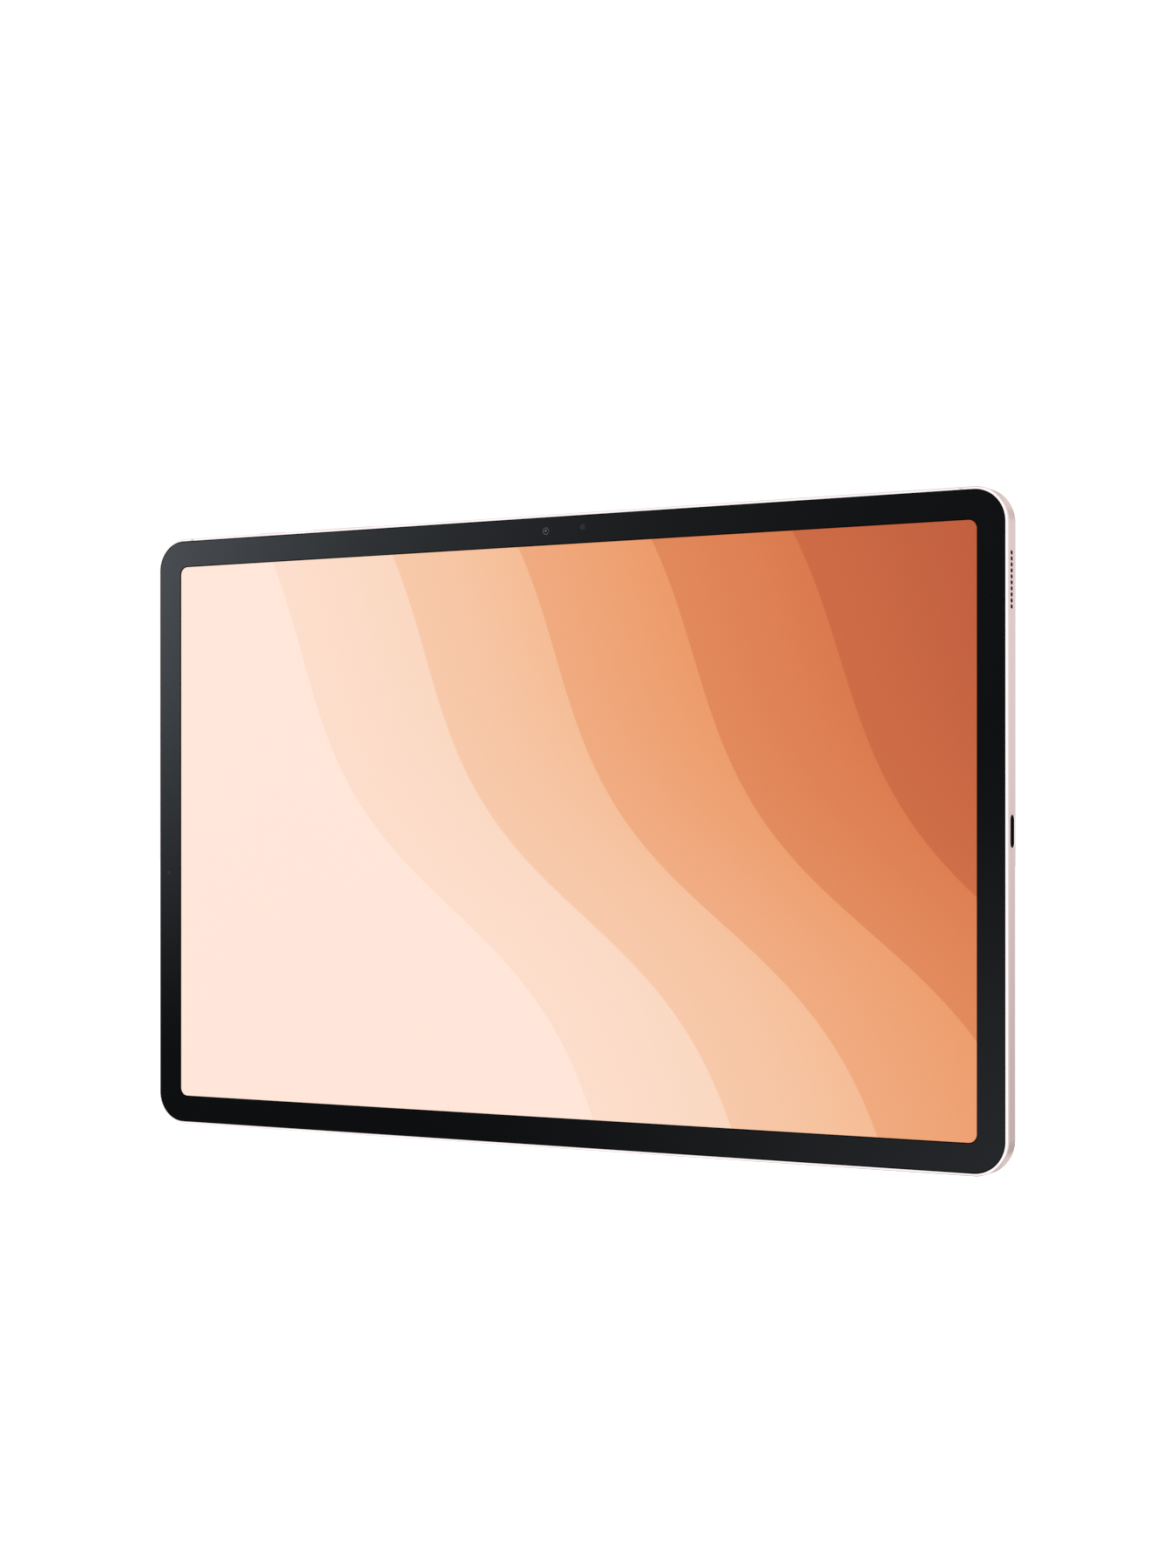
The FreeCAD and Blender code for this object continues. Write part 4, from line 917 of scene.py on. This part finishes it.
RIM_RADII = (0.80 * MM, 0.86 * MM, 1.06 * MM, 1.12 * MM)
RIM_SPAN = (0.01 * MM, 0.08 * MM)
THROAT_RADIUS = 0.02 * MM
THROAT_SPAN = (0.10 * MM, 0.14 * MM)
LENS_RADIUS = 0.55 * MM
LENS_SLOPE = 12
LENS_FRONT = 0.04 * MM
# painted highlights on the front lens, small white domes standing in for its reflections: place across
# and up from the lens's middle, and radius
PAINTED_HIGHLIGHTS = ((0.10 * MM, 0.14 * MM, 0.13 * MM), (-0.10 * MM, -0.06 * MM, 0.09 * MM))
PAINTED_HIGHLIGHT_SLOPE = 60
PAINTED_HIGHLIGHT_FRONT = 0.01 * MM


def build_front_camera():
    """The front camera seen through its window: a grey rim, a dark throat and a small lens, with two
    small white domes on the lens as painted highlights.
    """
    front, back = (OPTICAL_DEPTH + level for level in RIM_SPAN)
    rim = list(zip(RIM_RADII, (back, front, front, back)))
    ring = lathe_ring("front_lens_rim", FRONT_CAMERA, rim, "lens_rim")
    fitted(ring, "tablet", "lens_black")
    front, back = (OPTICAL_DEPTH + level for level in THROAT_SPAN)
    section = [(THROAT_RADIUS, front), (CAMERA_HOLE, front), (CAMERA_HOLE, back), (THROAT_RADIUS, back)]
    throat = lathe("front_throat", "Y", FRONT_CAMERA, section, "throat")
    fitted(throat, "tablet", "lens_black")
    front = OPTICAL_DEPTH + LENS_FRONT
    lens = dome("front_lens", FRONT_CAMERA, LENS_RADIUS, LENS_SLOPE, front, "front_lens")
    fitted(lens, "tablet", "lens_glass", "front_camera_lens")
    # two small white domes on the lens: painted highlights
    for number, (across, up, radius) in enumerate(PAINTED_HIGHLIGHTS):
        spot = (FRONT_CAMERA[0] + across, FRONT_CAMERA[1] + up)
        front = OPTICAL_DEPTH + PAINTED_HIGHLIGHT_FRONT
        painted_highlight = dome(f"front_painted_highlight_{number}", spot, radius, PAINTED_HIGHLIGHT_SLOPE, front, "painted_highlight")
        fitted(painted_highlight, "tablet", "lens_glass")


# ---- Back -------------------------------------------------------------------------------------
def build_pen_strip():
    """The flush strip that holds a pen, with a fine rounded edge."""
    low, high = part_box("pen_strip")
    spot = centre_of("pen_strip")
    size = (high.x - low.x, high.z - low.z)
    edge = 0.04 * MM
    profile = [(0.0, low.y), (0.0, high.y - edge), (edge, high.y), (edge + MM, high.y)]
    strip = swept("pen_strip_film", "Y", size, size[1] / 2, profile, (spot.x, spot.z), ["strip"], 32)
    fitted(strip, "tablet", "pen_strip_pink", "pen_strip")


REAR_LENS_RADIUS = 1.15 * MM
REAR_LENS_SINK = 0.28 * MM
REAR_LENS_RISE = 0.18 * MM
REAR_LENS_BACK = 0.42 * MM
REAR_LENS_TIP = 0.02 * MM
REAR_LENS_STEPS = 8
REAR_RING_RADII = (2.35 * MM, 2.75 * MM, 2.80 * MM, 2.30 * MM)
REAR_RING_SPAN = (0.02 * MM, 0.005 * MM)


def build_rear_lens():
    """The domed front element and the ring round it, on the moving barrel of the rear camera."""
    middle = centre_of("focus_barrel")
    spot = (middle.x, middle.z)
    front = span_of("focus_barrel", "y")[1]
    profile = [(REAR_LENS_TIP, front - REAR_LENS_SINK + REAR_LENS_RISE)]
    for step in range(1, REAR_LENS_STEPS + 1):
        angle = math.pi / 2 * step / REAR_LENS_STEPS
        level = front - REAR_LENS_SINK + REAR_LENS_RISE * math.cos(angle)
        profile.append((REAR_LENS_RADIUS * math.sin(angle), level))
    back = front - REAR_LENS_BACK
    profile += [(REAR_LENS_RADIUS, back), (REAR_LENS_TIP, back)]
    fitted(lathe("rear_lens", "Y", spot, profile, "lens"), "focus_barrel", "lens_glass")
    high, low = (front + level for level in REAR_RING_SPAN)
    section = list(zip(REAR_RING_RADII, (high, high, low, low)))
    ring = lathe_ring("rear_lens_ring", spot, section, "lens_rim")
    fitted(ring, "focus_barrel", "lens_black")


CONTACT_COUNT = 12
CONTACT_PITCH = 0.5 * MM
CONTACT_WIDTH = 0.24 * MM
CONTACT_HEIGHT = 0.02 * MM
CONTACT_ENDS = (3.2 * MM, 0.5 * MM)
TONGUE_HALF = 0.35 * MM


def contact_strip(name, span, level, rise, z):
    """One flat contact, from the tongue's face out to its own height."""
    builder = bmesh.new()
    start, end = span
    low, high = z - CONTACT_WIDTH / 2, z + CONTACT_WIDTH / 2
    corners = [(start, low), (end, low), (end, high), (start, high)]
    base = [builder.verts.new((x, level, h)) for x, h in corners]
    top = [builder.verts.new((x, level + rise, h)) for x, h in corners]
    builder.faces.new(base)
    builder.faces.new(top)
    join_loops(builder, base, top)
    return add_object(name, builder, ["gold"])


def build_usb_contacts():
    """Gold contact strips on both sides of the tongue."""
    tip = span_of("usb_tongue", "x")[1]
    span = (tip - CONTACT_ENDS[0], tip - CONTACT_ENDS[1])
    middle = centre_of("usb_tongue").y
    strips = []
    for side in (-1, 1):
        for index in range(CONTACT_COUNT):
            z = (index - (CONTACT_COUNT - 1) / 2) * CONTACT_PITCH
            level = middle + side * TONGUE_HALF
            name = f"usb_tip_{side}_{index}"
            strips.append(contact_strip(name, span, level, side * CONTACT_HEIGHT, z))
    fitted(merged("usb_contacts", strips), "tablet", "contact_gold")


def finish_cad_nodes():
    """Gives every CAD node that stays its own finish and crisp, smooth shading."""
    for node, finish in CAD_FINISH.items():
        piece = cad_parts[node]
        piece.data.materials.clear()
        piece.data.materials.append(MATERIALS[finish])
        weighted = piece.modifiers.new("weighted", "WEIGHTED_NORMAL")
        weighted.keep_sharp = True


# ---- Stage ------------------------------------------------------------------------------------
CAMERA_PLACE = Vector((392.3, -673.8, 0.0)) * MM
CAMERA_TURN = math.radians(29.3)
LENS_LENGTH = 61.3
LENS_SHIFT = (0.0002, 0.0302)


def build_floor():
    """A pale floor that glows a little, so that only the closest shadow shows."""
    material, tree, out = new_material("pale_floor")
    place, _ = object_place(tree)
    mottle = noise(tree, place, 30.0, 3.0)
    tone = mix(tree, mottle, (0.88, 0.88, 0.88), (0.92, 0.92, 0.92))
    shader = make(
        tree,
        "ShaderNodeBsdfPrincipled",
        Base_Color=tone,
        Roughness=0.9,
        Specular_IOR_Level=0.0,
        Emission_Color=(1, 1, 1),
        Emission_Strength=0.75,
    )
    plug(tree, shader, out)
    builder = bmesh.new()
    bmesh.ops.create_grid(builder, x_segments=1, y_segments=1, size=6.0)
    mesh = bpy.data.meshes.new("floor")
    builder.to_mesh(mesh)
    builder.free()
    mesh.materials.append(material)
    floor = bpy.data.objects.new("floor", mesh)
    floor.location.z = BODY_LOW.z - 0.05 * MM
    floor.visible_glossy = False
    bpy.context.scene.collection.objects.link(floor)


def build_world():
    """White to the camera. Reflections see bright soft walls with a dark card in front."""
    world = bpy.data.worlds.new("studio")
    bpy.context.scene.world = world
    world.use_nodes = True
    tree = world.node_tree
    tree.nodes.clear()
    way = make(tree, "ShaderNodeTexCoord", "Generated")
    parts = tree.nodes.new("ShaderNodeSeparateXYZ")
    plug(tree, way, parts.inputs[0])
    x, y, z = (Wire(tree, out) for out in parts.outputs)

    # the dark card in front, lit by a soft lamp past its upper left and a glow at its lower right
    card = x.ramp(-0.70, -0.635) * x.ramp(0.42, 0.22) * y.ramp(-0.50, -0.66)
    card = card * z.ramp(0.42, 0.24) * z.ramp(-0.42, -0.24)
    lamp = ((x + 0.62) * -14.5).math("EXPONENT").least(2.0) * z.ramp(-0.09, 0.15) * 1.8
    glow = z.ramp(0.05, -0.15) * x.ramp(-0.55, -0.28) * 0.5
    card_light = lamp + glow + 0.09

    # the walls: bright in front and to the left, dimmer below and behind to the right
    behind = y.ramp(-0.38, -0.05) * x.ramp(-0.55, -0.3)
    dim = z.ramp(-0.13, 0.07) * 0.30 + 0.64 - z.ramp(0.12, 0.19) * 0.20 - z.ramp(-0.12, -0.17) * 0.07
    dim = dim.most(x.ramp(0.42, 0.75) * 0.95)
    corner = z.ramp(0.24, 0.33).most(z.ramp(-0.27, -0.34)) * x.ramp(-0.3, -0.1) * x.ramp(0.35, 0.28)
    dim = dim.most(corner)
    walls = dim * behind + (-behind + 1.0) * 1.05
    seen = walls * (-card + 1.0) + card_light * card

    camera_ray = make(tree, "ShaderNodeLightPath", "Is Camera Ray")
    tint = mix(tree, card * (-camera_ray + 1.0), (1.0, 1.0, 1.0), (0.90, 1.0, 1.12))
    diffuse_ray = make(tree, "ShaderNodeLightPath", "Is Diffuse Ray")
    strength = seen * (-diffuse_ray + 1.0) + diffuse_ray * 0.9
    strength = strength * (-camera_ray + 1.0) + camera_ray * 1.05
    background = make(tree, "ShaderNodeBackground", Color=tint, Strength=strength)
    output = tree.nodes.new("ShaderNodeOutputWorld")
    plug(tree, background, output.inputs["Surface"])


def build_camera():
    """The camera: level, at mid height, turned to see the right edge."""
    data = bpy.data.cameras.new("camera")
    data.lens = LENS_LENGTH
    data.sensor_width = 36.0
    data.shift_x, data.shift_y = LENS_SHIFT
    data.clip_start = 0.01
    camera = bpy.data.objects.new("camera", data)
    camera.location = CAMERA_PLACE
    camera.rotation_euler = (math.pi / 2, 0.0, CAMERA_TURN)
    bpy.context.scene.collection.objects.link(camera)
    bpy.context.scene.camera = camera


def build_lamp():
    """One large soft lamp above and in front."""
    data = bpy.data.lights.new("soft_lamp", "AREA")
    data.shape = "RECTANGLE"
    data.size = 1.2
    data.size_y = 0.8
    data.energy = 6.0
    lamp = bpy.data.objects.new("soft_lamp", data)
    lamp.location = (0.5, -0.9, 1.2)
    lamp.rotation_euler = (Vector((0, 0, 0)) - lamp.location).to_track_quat("-Z", "Y").to_euler()
    lamp.visible_camera = False
    lamp.visible_glossy = False
    bpy.context.scene.collection.objects.link(lamp)


build_housing()
build_glass()
build_seal()
build_border()
build_picture()
build_front_camera()
build_pen_strip()
build_rear_lens()
build_usb_contacts()
finish_cad_nodes()
build_floor()
build_world()
build_camera()
build_lamp()
bpy.context.scene.view_settings.view_transform = "Standard"
